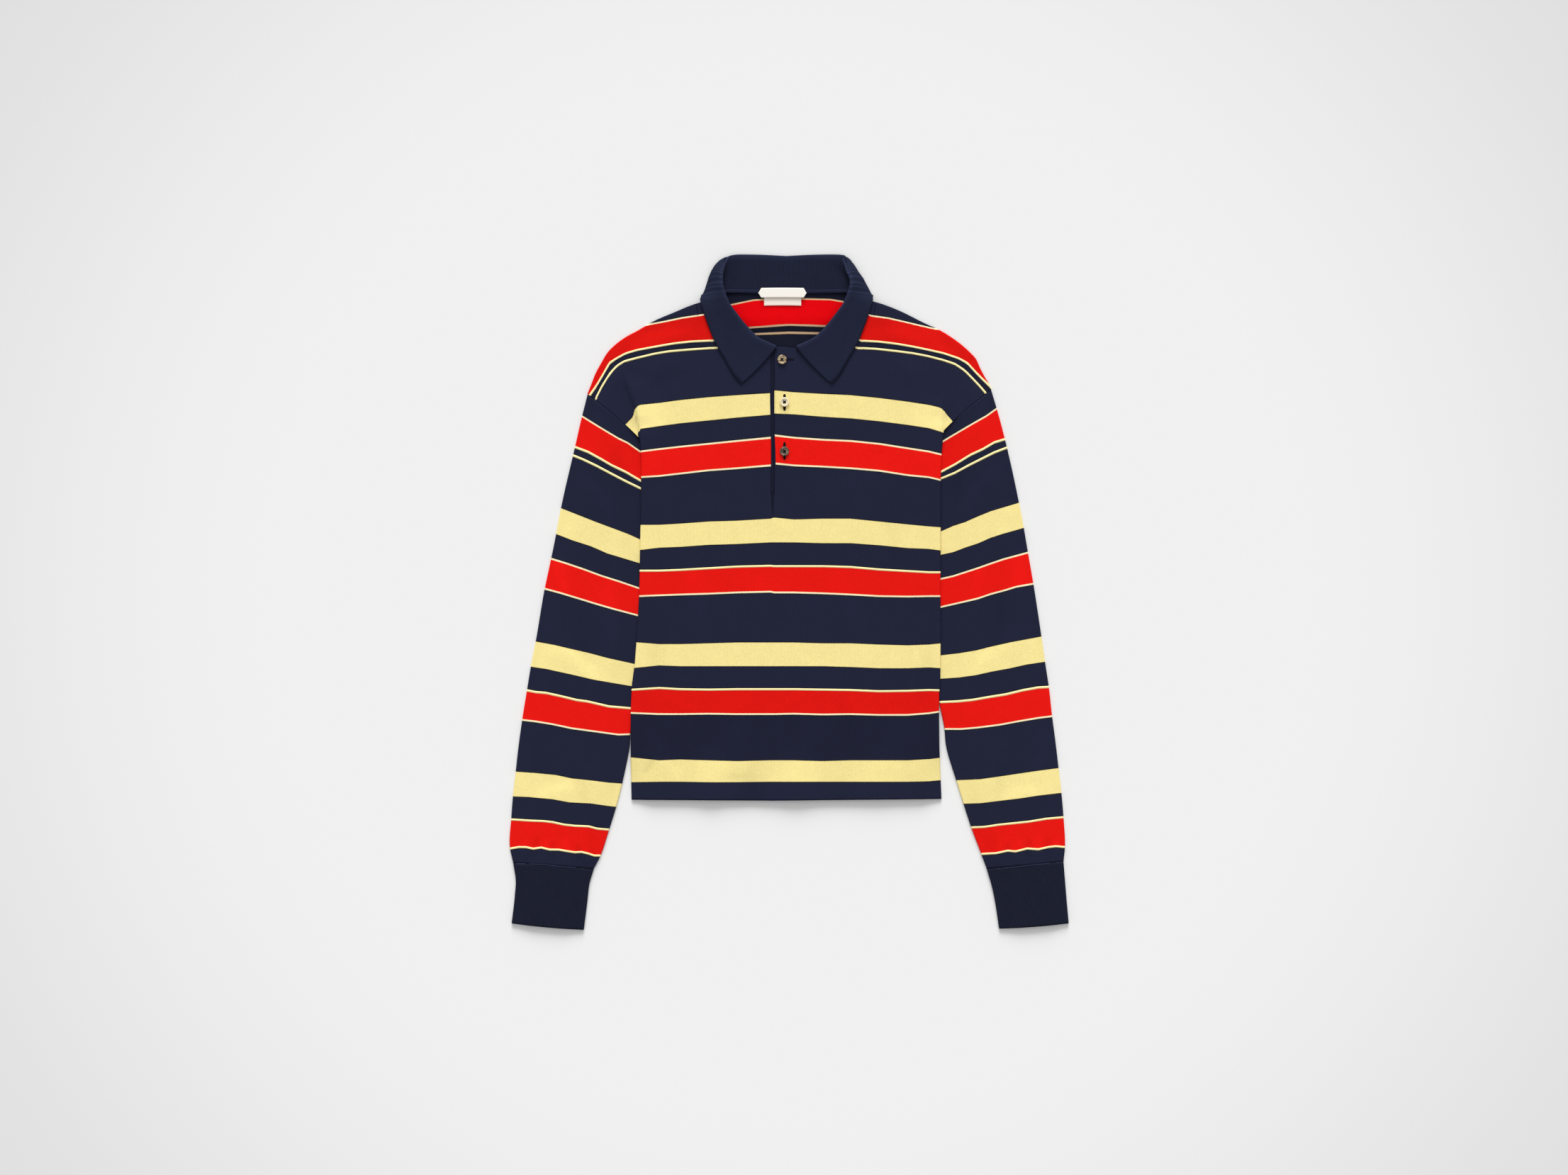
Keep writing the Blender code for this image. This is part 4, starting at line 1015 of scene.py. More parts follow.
class Wiring:
    """Adds nodes to one node tree and links them."""

    def __init__(self, tree: bpy.types.NodeTree) -> None:
        """Keep the tree."""
        self.tree = tree

    def put(self, sockets: bpy.types.NodeInputs, inputs: Inputs) -> None:
        """Link each named socket to its signal, or set the number or colour that it holds."""
        for key, value in inputs.items():
            if isinstance(value, Signal):
                self.tree.links.new(value.socket, sockets[key])
            else:
                sockets[key].default_value = (*value, 1.0) if isinstance(value, tuple) else value

    def node(self, kind: str, inputs: Inputs, output: str | int = 0, **settings: object) -> Signal:
        """Add a node.

        Args:
            kind: the kind of shader node.
            inputs: what goes into it, by name or number.
            output: which output to give.
            settings: its other settings.

        Returns:
            The output.
        """
        node = self.tree.nodes.new("ShaderNode" + kind)
        for name, value in settings.items():
            setattr(node, name, value)
        self.put(node.inputs, inputs)
        return Signal(self, node.outputs[output])

    def math(self, operation: str, *values: Value) -> Signal:
        """Result of one step of arithmetic."""
        return self.node("Math", dict(enumerate(values)), operation=operation)

    def colours(self, share: Value, first: Signal | Colour, second: Signal | Colour,
                way: str = "MIX") -> Signal:
        """Colour that goes from first to second with share."""
        return self.node("Mix", {0: share, 6: first, 7: second}, 2, data_type="RGBA",
                         blend_type=way)

    def shaded(self, colour: Signal | Colour, shade: Signal) -> Signal:
        """Colour times shade."""
        grey = self.node("CombineColor", {0: shade, 1: shade, 2: shade})
        return self.colours(1.0, colour, grey, "MULTIPLY")

    def value(self, name: str) -> Signal:
        """What a piece's points hold under this name."""
        return self.node("Attribute", {}, "Fac", attribute_name=name)

    def place(self, axis: str = "") -> Signal:
        """Place in the piece's own space, in metres: one axis of it, or the whole."""
        whole = self.node("TexCoord", {}, "Object")
        return self.node("SeparateXYZ", {0: whole}, axis) if axis else whole

    def noise(self, scale: float, detail: float = 3.0, distortion: float = 0.0) -> Signal:
        """Cloudy noise about 0 in the piece's own space, with scale blotches to a metre."""
        return self.node("TexNoise", {"Vector": self.place(), "Scale": scale, "Detail": detail,
                                      "Distortion": distortion}, "Fac") - 0.5

    def wave(self, phase: Signal) -> Signal:
        """0 to 1 and back each time phase grows by one."""
        return self.math("COSINE", phase * (2.0 * math.pi)) * 0.5 + 0.5


class Group(Wiring):
    """A shader group while it is made."""

    def __init__(self, name: str, **inputs: float) -> None:
        """Start the group, with its inputs and their usual values."""
        super().__init__(bpy.data.node_groups.new(name, "ShaderNodeTree"))
        for key, value in inputs.items():
            self.socket(key, "INPUT").default_value = value
        self.given = self.tree.nodes.new("NodeGroupInput").outputs

    def socket(self, name: str, way: str) -> bpy.types.NodeTreeInterfaceSocket:
        """Add a number to what goes into or out of the group."""
        return self.tree.interface.new_socket(name, in_out=way, socket_type="NodeSocketFloat")

    def __getitem__(self, name: str) -> Signal:
        """The input of this name."""
        return Signal(self, self.given[name])

    def give(self, **results: Signal) -> bpy.types.NodeTree:
        """Put out these results and end the group."""
        for key in results:
            self.socket(key, "OUTPUT")
        self.put(self.tree.nodes.new("NodeGroupOutput").inputs, results)
        return self.tree


# Blotches of dye to a metre: fine ones of each cloth, and the broad ones of jersey and rib.
JERSEY_BLOTCHES, RIB_BLOTCHES, YARN_BLOTCHES, BROAD_BLOTCHES = 620.0, 380.0, 900.0, 60.0


def knit_group() -> bpy.types.NodeTree:
    """Fine jersey: columns of stitches, each a pair of slanted legs, and blotchy dye.

    Height is an arch across each wale times a slanted wave down it.  Shade darkens
    the furrows and adds two sizes of blotch.  Tooth shifts a stripe's edge by half a
    stitch from wale to wale.
    """
    knit = Group("Knit", Across=0.0, Course=0.0, Wale=1.1, Row=0.9, Furrow=0.2, Mottle=0.1)
    wale = knit["Across"] / knit["Wale"]
    arch = knit.math("ABSOLUTE", knit.math("SINE", wale * math.pi))
    leg = knit.wave(knit["Course"] / knit["Row"] + knit.math("PINGPONG", wale, 0.5))
    height = arch * (leg * 0.4 + 0.6)
    blotch = knit.noise(JERSEY_BLOTCHES) + knit.noise(BROAD_BLOTCHES, 2.0) * 0.3
    shade = blotch * knit["Mottle"] + 1.0 - (0.51 - height) * knit["Furrow"]
    return knit.give(Shade=shade, Height=height, Tooth=arch * 0.7 - 0.45)


def rib_group() -> bpy.types.NodeTree:
    """One-and-one rib: a wave across the ribs with rows of stitches down them.

    Height is the wave with a fine ripple of stitches, and Shade darkens the furrows.
    """
    rib = Group("Rib", Across=0.0, Course=0.0, Pitch=2.1, Furrow=0.3, Mottle=0.1)
    ridge = rib.wave(rib["Across"] / rib["Pitch"])
    blotch = rib.noise(RIB_BLOTCHES, 4.0) + rib.noise(BROAD_BLOTCHES, 2.0)
    shade = blotch * rib["Mottle"] + 1.0 - (0.5 - ridge) * rib["Furrow"]
    return rib.give(Shade=shade, Height=rib.wave(rib["Course"]) * 0.25 + ridge * 0.75)


def twist_group() -> bpy.types.NodeTree:
    """Twisted yarn: slanted plies that run round a strand.

    Height is a wave of the length along the strand plus the turn round it.
    """
    twist = Group("Twist", Ply=2.2, Furrow=0.3)
    turn = twist.value("across") / (2.0 * math.pi)
    ply = twist.wave(twist.value("course") / twist["Ply"] + turn)
    shade = twist.noise(YARN_BLOTCHES, 2.0) * 0.25 + 1.0 - (0.6 - ply) * twist["Furrow"]
    return twist.give(Shade=shade, Height=ply)


def satin_group() -> bpy.types.NodeTree:
    """Woven satin: long floats in staggered rows, from the piece's own space.

    Height is a wave across the threads times one along them that shifts row by row.
    """
    satin = Group("Satin", Thread=0.35, Float=2.4)
    across = satin.place("Y") * (1.0 / MM) / satin["Thread"]
    along = satin.place("X") * (1.0 / MM) / satin["Float"]
    stagger = satin.math("FLOOR", across) * 0.38
    weave = satin.wave(along + stagger) * 0.5 + satin.wave(across) * 0.5
    return satin.give(Shade=weave * 0.08 + 0.94, Height=weave)


class Cloth(Enum):
    """Shader groups that the finishes share, made once by name."""

    KNIT = "Knit"
    RIB = "Rib"
    TWIST = "Twist"
    SATIN = "Satin"

    def tree(self) -> bpy.types.NodeTree:
        """The group, made the first time it is asked for."""
        makers = {Cloth.KNIT: knit_group, Cloth.RIB: rib_group, Cloth.TWIST: twist_group,
                  Cloth.SATIN: satin_group}
        return bpy.data.node_groups.get(self.value) or makers[self]()


@dataclass(frozen=True)
class Finish:
    """What every finish has: a name, a colour, roughness, gloss and depth of relief."""

    name: str
    roughness: float = 0.9
    specular: float = 0.04
    relief: float = 0.12
    sheen: float = 0.0
    colour: Colour = SEAM_THREAD
    sheen_roughness: float = 0.5


class Coat(Wiring):
    """The material of a finish while it is made."""

    def __init__(self, finish: Finish) -> None:
        """Make the material and set the plain values of its shader."""
        self.material = bpy.data.materials.new(finish.name)
        self.material.use_nodes = True
        super().__init__(self.material.node_tree)
        self.depth = finish.relief * MM
        self.shader = self.tree.nodes["Principled BSDF"].inputs
        self.put(self.shader, {"Roughness": finish.roughness, "Sheen Weight": finish.sheen,
                               "Specular IOR Level": finish.specular,
                               "Sheen Roughness": finish.sheen_roughness})

    def group(self, cloth: Cloth, **inputs: Value) -> dict[str, Signal]:
        """Place a shared group with its own inputs, and give its outputs."""
        node = self.tree.nodes.new("ShaderNodeGroup")
        node.node_tree = cloth.tree()
        self.put(node.inputs, inputs)
        return {output.name: Signal(self, output) for output in node.outputs}

    def dress(self, colour: Signal | Colour, shade: Signal,
              height: Signal | None = None) -> Material:
        """Show colour times shade, raised by height times the finish's relief.

        Args:
            colour: colour of the piece.
            shade: how light it is.
            height: height of its surface, from 0 to 1, or None if it is smooth.

        Returns:
            The material.
        """
        self.put(self.shader, {"Base Color": self.shaded(colour, shade)})
        if height is not None:
            bump = {"Height": height, "Distance": self.depth, "Strength": 1.0}
            self.put(self.shader, {"Normal": self.node("Bump", bump, "Normal")})
        return self.material


@dataclass(frozen=True)
class JerseyFinish(Finish):
    """Striped jersey: each course has its yarn."""

    colours: dict = field(default_factory=lambda: RIGHT_SIDE)
    wale: float = 1.1
    row: float = 0.9
    furrow: float = 0.18
    mottle: float = 0.3

    def material(self, stripes: StripeField) -> Material:
        """Make the finish.

        The course, with a tooth at each wale, is set against the start of each band
        in turn, and the last band that it has passed gives its yarn.  Inside a border
        the yarn is navy throughout.

        Args:
            stripes: the stripes of the piece.

        Returns:
            The material.
        """
        coat = Coat(self)
        knit = coat.group(Cloth.KNIT, Across=coat.value("across"), Course=coat.value("course"),
                          Wale=self.wale, Row=self.row, Furrow=self.furrow, Mottle=self.mottle)
        place = coat.value("course") + knit["Tooth"]
        colour = self.colours[Yarn.NAVY]
        for course, yarn, light in stripes.bands()[1:]:
            # Each band's colour times its painted light and shade.
            painted_colour = tuple(light * part for part in self.colours[yarn])
            colour = coat.colours(place > course, colour, painted_colour)
        colour = coat.colours(coat.value("border") > 0.0, colour, self.colours[Yarn.NAVY])
        return coat.dress(colour, knit["Shade"] * coat.value("shade"), knit["Height"])


@dataclass(frozen=True)
class RibFinish(Finish):
    """Plain rib knit of one yarn."""

    pitch: float = 2.1
    row: float = 1.1
    furrow: float = 0.35
    mottle: float = 0.2

    def material(self) -> Material:
        """Make the finish."""
        coat = Coat(self)
        rib = coat.group(Cloth.RIB, Across=coat.value("across"),
                         Course=coat.value("course") / self.row, Pitch=self.pitch,
                         Furrow=self.furrow, Mottle=self.mottle)
        return coat.dress(self.colour, rib["Shade"] * coat.value("shade"), rib["Height"])


@dataclass(frozen=True)
class YarnFinish(Finish):
    """A strand of twisted yarn or thread."""

    ply: float = 2.2
    furrow: float = 0.25

    def material(self) -> Material:
        """Make the finish."""
        coat = Coat(self)
        twist = coat.group(Cloth.TWIST, Ply=self.ply, Furrow=self.furrow)
        return coat.dress(self.colour, twist["Shade"], twist["Height"])


@dataclass(frozen=True)
class SatinFinish(Finish):
    """Woven satin of a blank label."""

    def material(self) -> Material:
        """Make the finish."""
        coat = Coat(self)
        satin = coat.group(Cloth.SATIN)
        return coat.dress(self.colour, satin["Shade"], satin["Height"])


@dataclass(frozen=True)
class HornFinish(Finish):
    """Polished horn: light streaks clouded with brown, darker towards the rim."""

    roughness: float = 0.3
    specular: float = 0.5
    dark: Colour = (0.12, 0.05, 0.015)
    clouds: float = 0.5
    rim: float = 0.3
    rim_start: float = 0.66
    cloud_scale: float = 260.0
    streak_scale: float = 900.0
    contrast: float = 5.0

    def material(self, centre: Point, radius: float) -> Material:
        """Make the finish.

        Stretched noise picks between the light and the dark horn, and the distance
        from the middle adds to it over the outer third.

        Args:
            centre: middle of the button in plan, in millimetres.
            radius: its radius.

        Returns:
            The material.
        """
        coat = Coat(self)
        x = coat.place("X") - centre[0] * MM
        y = coat.place("Y") - centre[1] * MM
        share = coat.math("SQRT", x * x + y * y) / (radius * MM)
        outer = coat.math("MAXIMUM", share - self.rim_start, 0.0) * (self.rim * 3.0)
        cloud = coat.noise(self.cloud_scale, 3.0, 1.6) + (0.5 - self.clouds)
        mask = coat.node("Clamp", {"Value": cloud * self.contrast + outer})
        streak = coat.noise(self.streak_scale, 2.0, 2.0) * 0.5 + 1.0
        coat.put(coat.shader, {"Coat Weight": 0.4, "Coat Roughness": 0.15})
        return coat.dress(coat.colours(mask, self.colour, self.dark), streak)


JERSEY = JerseyFinish("jersey_right_side")
WRONG_JERSEY = JerseyFinish("jersey_wrong_side", colours=WRONG_SIDE, furrow=0.3)
COLLAR_RIB = RibFinish("collar_rib", colour=RIB_NAVY, furrow=0.5, relief=0.1)
CUFF_RIB = RibFinish("cuff_rib", colour=CUFF_NAVY, pitch=2.6, furrow=0.4, relief=0.1)
WELT_YARN = YarnFinish("welt_yarn", colour=RIGHT_SIDE[Yarn.GOLD], furrow=0.12, relief=0.06)
WHITE_SATIN = SatinFinish("label_satin", 0.45, 0.4, 0.03, 0.1, LABEL_CREAM)
TAB_SATIN = SatinFinish("tab_satin", 0.5, 0.4, 0.03, colour=TAB_CREAM)


# ------------------------ body panels


@dataclass(frozen=True)
class BodyRows:
    """Rows of a body panel, from the hem up to the neck point."""

    low: int
    high: int
    arm: int
    shoulder: int

    def outline(self, half: Half) -> tuple[Array, Array, Array]:
        """Outer ends of the rows on one side.

        They go up the side edge, along the armhole seam and up the shoulder fold.

        Args:
            half: the side.

        Returns:
            The ends, each row's height on the centre line, and how much it is rolled.
        """
        side = np.array(half.side)
        low, high = np.linspace(0, 1, self.low), np.linspace(0, 1, self.high)[1:]
        armpit_y = side[-1, 1]
        side_y = np.concatenate([side[0, 1] + (FORM.slit_end_side_y - side[0, 1]) * low,
                                 FORM.slit_end_side_y + (armpit_y - FORM.slit_end_side_y) * high])
        edge = np.column_stack([np.interp(side_y, side[:, 1], side[:, 0]), side_y])
        first = np.array(half.sleeve[0])
        arm = cross_line(first[None], np.linspace(1, 0, self.arm)[None, 1:-1])[0]
        top = curve(half.shoulder, np.linspace(0, 1, self.shoulder))
        centre = np.concatenate([
            FORM.hem_y + (FORM.slit_end_y - FORM.hem_y) * low,
            FORM.slit_end_y + (FORM.armpit_centre_y - FORM.slit_end_y) * high,
            np.linspace(FORM.armpit_centre_y, FORM.point_centre_y, self.arm)[1:-1],
            np.linspace(FORM.point_centre_y, FORM.neck_y, self.shoulder)])
        share = np.linspace(0, 1, self.shoulder)
        top_roll = np.clip((1.0 - share) / FORM.roll_neck, 0, 1) * smooth(share / FORM.roll_point)
        side_roll = smooth((armpit_y - side_y) / FORM.roll_armpit)
        rolled = np.concatenate([side_roll, np.zeros(len(arm)), top_roll])
        return np.vstack([edge, arm, top]), centre, rolled

    def bend(self, count: int, first: int) -> Array:
        """How much each row follows the neck: none up to a row, then smoothly more."""
        return smooth((np.arange(count) - first) / (count - 1 - first))


def cross_line(sections: Array, along: Array) -> Array:
    """Plan points across sections: straight from end to end, with the middle bowed.

    Args:
        sections: one row of the sleeve table for each section.
        along: places on each section, 0 at its outer end and 1 at the body's side.

    Returns:
        Points, sections by places by 2.
    """
    outer = sections[:, None, Section.OUTER]
    span = sections[:, None, Section.INNER] - outer
    across = unit(np.stack([-span[..., 1], span[..., 0]], axis=-1))
    across = across * np.sign(across[..., 1:2])
    share = np.broadcast_to(along, (len(sections), along.shape[-1]))[..., None]
    bow = sections[:, Section.BOW][:, None, None]
    return outer + span * share + across * bow * 4.0 * share * (1.0 - share)


@dataclass
class FrontPanel:
    """The front: two halves that meet below the placket slit."""

    rows: BodyRows = BodyRows(136, 48, 24, 54)
    columns: int = 72
    roll_steps: int = 7
    slit_roll: float = 0.5
    slit_drop: float = 0.6
    border_l: tuple[Point, ...] = pairs(-17.4, 150, -18.3, 172, -19.7, 232)
    border_r: tuple[Point, ...] = pairs(-12.6, 150, -13, 172, -15, 214, -15.2, 232, -14.6, 243)
    border_end_y: float = 130.0
    sheets: list[Sheet] = field(default_factory=list)

    def half(self, half: Half) -> Sheet:
        """Work out one half.

        Each row runs from the outline to the slit; the upper rows bend until the last
        follows the neck edge.  The first columns turn down round the folded edge.

        Args:
            half: the side.

        Returns:
            Its grid, one row for each row of the panel.
        """
        outer, centre_y, rolled = self.rows.outline(half)
        opened = FORM.slit_half * np.clip((centre_y - FORM.slit_end_y) / FORM.slit_taper, 0, 1)
        inner = np.column_stack([FORM.slit_x + half.slit_side * opened, centre_y])
        length = np.hypot(*(inner - outer).T)[:, None]
        turn = np.linspace(0.0, np.pi / 2, self.roll_steps)
        near = FORM.roll * (1.0 - np.cos(turn))[None] / length
        rest = np.linspace(0.0, 1.0, self.columns)[None, 1:]
        share = np.hstack([near, near[:, -1:] + (1.0 - near[:, -1:]) * rest])
        neck = curve(half.neck, share.ravel()).reshape(*share.shape, 2)
        chord = neck[:, :1] + (neck[:, -1:] - neck[:, :1]) * share[..., None]
        first = self.rows.low + self.rows.high - 2
        bend = self.rows.bend(len(outer), first)[:, None, None]
        plan = (outer[:, None] + (inner - outer)[:, None] * share[..., None]
                + (neck - chord) * bend)
        z = FORM.front_top(plan) + relief(FOLDS + BODY_CREASES, plan)
        z -= rolled[:, None] * FORM.roll_drop(share * length, FORM.roll)
        to_slit = np.where(opened[:, None] > 0.5, (1.0 - share) * length, self.slit_roll)
        z -= self.slit_drop * FORM.roll_drop(to_slit, self.slit_roll)
        values = {"course": BODY_FIELD.course(plan), "across": plan[..., 0],
                  "shade": shading(FOLDS + BODY_CREASES, plan), "border": self.border(half, plan)}
        return Sheet(np.dstack([plan, z]), values, turned=half.slit_side > 0)

    def border(self, half: Half, plan: Array) -> Array:
        """How far each point lies inside the plain navy border of the slit.

        Args:
            half: the side.
            plan: plan points of its grid.

        Returns:
            Millimetres past the border's start, less than nothing outside it.
        """
        table = self.border_l if half.slit_side < 0 else self.border_r
        start = np.interp(plan[..., 1], *np.array(table)[:, ::-1].T)
        inside = (start - plan[..., 0]) * half.slit_side
        return np.where(plan[..., 1] > self.border_end_y, inside, -1.0)

    def build(self) -> None:
        """Build and dress the front."""
        self.sheets = [self.half(LEFT), self.half(RIGHT)]
        front = settle(add_piece("front_panel", self.sheets, JERSEY.material(BODY_FIELD)),
                       "jersey", "front", wall=FORM.cloth)


@dataclass(frozen=True)
class BackPanel:
    """The back: its wrong side shows through the neck, and it lies on the floor."""

    rows: BodyRows = BodyRows(78, 28, 16, 34)
    columns: int = 112
    inset: float = 1.8

    def grid(self) -> Sheet:
        """Work out the back.

        Its rows run from outline to outline, a little inside the front's rolled edge,
        and the upper ones rise in the middle until the last follows the neck.
        """
        ends = []
        for half in (LEFT, RIGHT):
            outer, _, rolled = self.rows.outline(half)
            run = np.gradient(outer, axis=0)
            inward = unit(np.column_stack([run[:, 1], -run[:, 0]])) * -half.slit_side
            ends.append(outer + inward * (self.inset * np.maximum(rolled, 0.1))[:, None])
        start, end = ends
        start[-1], end[-1] = BACK_NECK_POINTS
        share = np.linspace(0.0, 1.0, self.columns)[None, :, None]
        plan = start[:, None] + (end - start)[:, None] * share
        first = len(start) - self.rows.shoulder
        bend = self.rows.bend(len(start), first)[:, None]
        plan[..., 1] += bend * np.interp(plan[..., 0], *np.array(BACK_NECK_RISE).T)
        z = FORM.back_underside(plan) + FORM.cloth
        values = {"course": BODY_FIELD.course(plan), "across": plan[..., 0], "shade": 1.0}
        return Sheet(np.dstack([plan, z]), values)

    def build(self) -> None:
        """Build the back with its wrong side up and its right side on the floor."""
        back = add_piece("back_panel", [self.grid()], WRONG_JERSEY.material(BODY_FIELD))
        back.data.materials.append(JERSEY.material(BODY_FIELD))
        settle(back, "jersey", "back", wall=FORM.cloth)
        back.modifiers["Wall"].material_offset = 1
        back.modifiers["Wall"].material_offset_rim = 1


# ------------------------ sleeves and cuffs


@dataclass(frozen=True)
class FlatTube:
    """A flattened tube: rounded edges, a flat underside and a crowned upper side."""

    rows: int
    top: int
    under: int
    edge_height: float
    middle_height: float
    arc: int = 7
    pressed: float = 2.0

    def grid(self, table: Array) -> tuple[Array, Array, Array]:
        """Loft the tube through its sections.

        The sections are read along a smooth curve.  Each loop goes up round the outer
        edge, over the top, down round the inner edge and back along the floor.  The
        top rises smoothly from both edges, and stays low under the body.

        Args:
            table: the sections.

        Returns:
            Points, each one's share of the visible width, and where the top side is.
        """
        sections = curve(table, np.linspace(0.0, 1.0, self.rows))
        sections[:, Section.TUCK] = np.maximum(sections[:, Section.TUCK], 0.0)
        span = sections[:, Section.INNER] - sections[:, Section.OUTER]
        visible = np.hypot(*span.T)[:, None]
        tuck = sections[:, Section.TUCK][:, None]
        length = visible + tuck
        radius = self.edge_height / 2.0
        turn = np.linspace(-np.pi / 2, np.pi / 2, self.arc)[None, :-1]
        bulge = radius * (1.0 - np.cos(turn)) + 0.0 * length
        top = radius + (length - 2 * radius) * np.linspace(0.0, 1.0, self.top)[None]
        under = radius + (length - 2 * radius) * np.linspace(1.0, 0.0, self.under)[None, :-1]
        pressed = tuck + np.where(tuck > 0, self.pressed, 0.0)
        rise = smooth(top / FORM.soft_edge) * smooth((length - top - pressed) / FORM.soft_edge)
        top_z = self.edge_height + (self.middle_height - self.edge_height) * rise
        distance = np.hstack([bulge, top, length - bulge[:, ::-1], under[:, 1:]])
        side_z = radius * (1.0 + np.sin(turn)) + 0.0 * length
        z = np.hstack([side_z, top_z, side_z[:, ::-1], 0.0 * under[:, 1:]])
        plan = cross_line(sections, distance / visible)
        upper = np.zeros(z.shape, dtype=bool)
        upper[:, self.arc // 2:self.arc - 1 + self.top + self.arc // 2] = True
        return np.dstack([plan, z]), distance / visible, upper


@dataclass(frozen=True)
class Sleeve:
    """A sleeve, from the armhole seam to the cuff seam."""

    half: Half
    tube: FlatTube = FlatTube(250, 68, 34, 2.7, 2.0 * FORM.cloth + FORM.air)
    seam_gap: float = 0.96
    crown_rise: float = 1.5
    gather_start: float = 0.9
    gather_ramp: float = 0.05
    edge_start: float = -0.2
    edge_ramp: float = 0.6
    floor_margin: float = 1.0
    wales_width: float = 120.0

    def build(self) -> Sheet:
        """Build and dress the sleeve.

        Returns:
            Its upper side, for the raised lines.
        """
        name = self.half.name
        table = np.array(self.half.sleeve)
        table[0, [1, 3]] -= self.seam_gap
        points, share, upper = self.tube.grid(table)
        plan, z = points[..., :2], points[..., 2]
        above = z - self.tube.edge_height
        row = np.arange(self.tube.rows)[:, None] / self.tube.rows
        gathered = smooth((row - self.gather_start) / self.gather_ramp)
        gathered = gathered * np.clip((above - self.edge_start) / self.edge_ramp, 0.0, 1.0)
        crown = np.maximum(np.clip(above / self.crown_rise, 0.0, 1.0), gathered)
        z += relief(SLEEVE_CREASES[name], plan) * crown * (z > self.floor_margin)
        stripes = SLEEVE_FIELDS[name]
        values = {"course": stripes.course(plan), "across": share * self.wales_width,
                  "shade": shading(SLEEVE_CREASES[name], plan)}
        sheet = Sheet(points, values, closed=True, turned=name == "l")
        sleeve = settle(add_piece("sleeve_shell_" + name, [sheet], JERSEY.material(stripes)),
                        "jersey", "sleeve_" + name, wall=FORM.cloth)
        columns = np.flatnonzero(upper[0])
        return Sheet(points[:, columns], {key: value[:, columns] for key, value in values.items()},
                     turned=sheet.turned)


@dataclass(frozen=True)
class Cuff:
    """A ribbed cuff, from its seam to its open end."""

    half: Half
    tube: FlatTube = FlatTube(34, 210, 150, 2.0 * FORM.rib + FORM.rest_gap,
                              2.0 * FORM.rib + 2.2, 9)
    seam_gap: float = 0.6
    course_step: float = 2.3
    ribs: int = 35
    depth: float = 0.22
    floor_margin: float = 0.5

    def build(self) -> None:
        """Build and dress the cuff, with every rib a wave in its surface."""
        name = self.half.name
        table = np.array(self.half.cuff)
        table[0, [1, 3]] -= self.seam_gap
        points, share, _ = self.tube.grid(table)
        values = {"course": np.arange(self.tube.rows)[:, None] * self.course_step,
                  "across": share * self.ribs * CUFF_RIB.pitch, "shade": 1.0}
        sheet = Sheet(points, values, closed=True, turned=name == "l")
        wave = self.depth * (np.cos(2 * np.pi * share * self.ribs) - 1.0)
        raised = points[..., 2] > self.floor_margin
        points += sheet.normals() * (wave * raised)[..., None]
        cuff = settle(add_piece("cuff_shell_" + name, [sheet], CUFF_RIB.material()),
                      "rib", "cuff_" + name, wall=FORM.rib_wall)


# ------------------------ collar


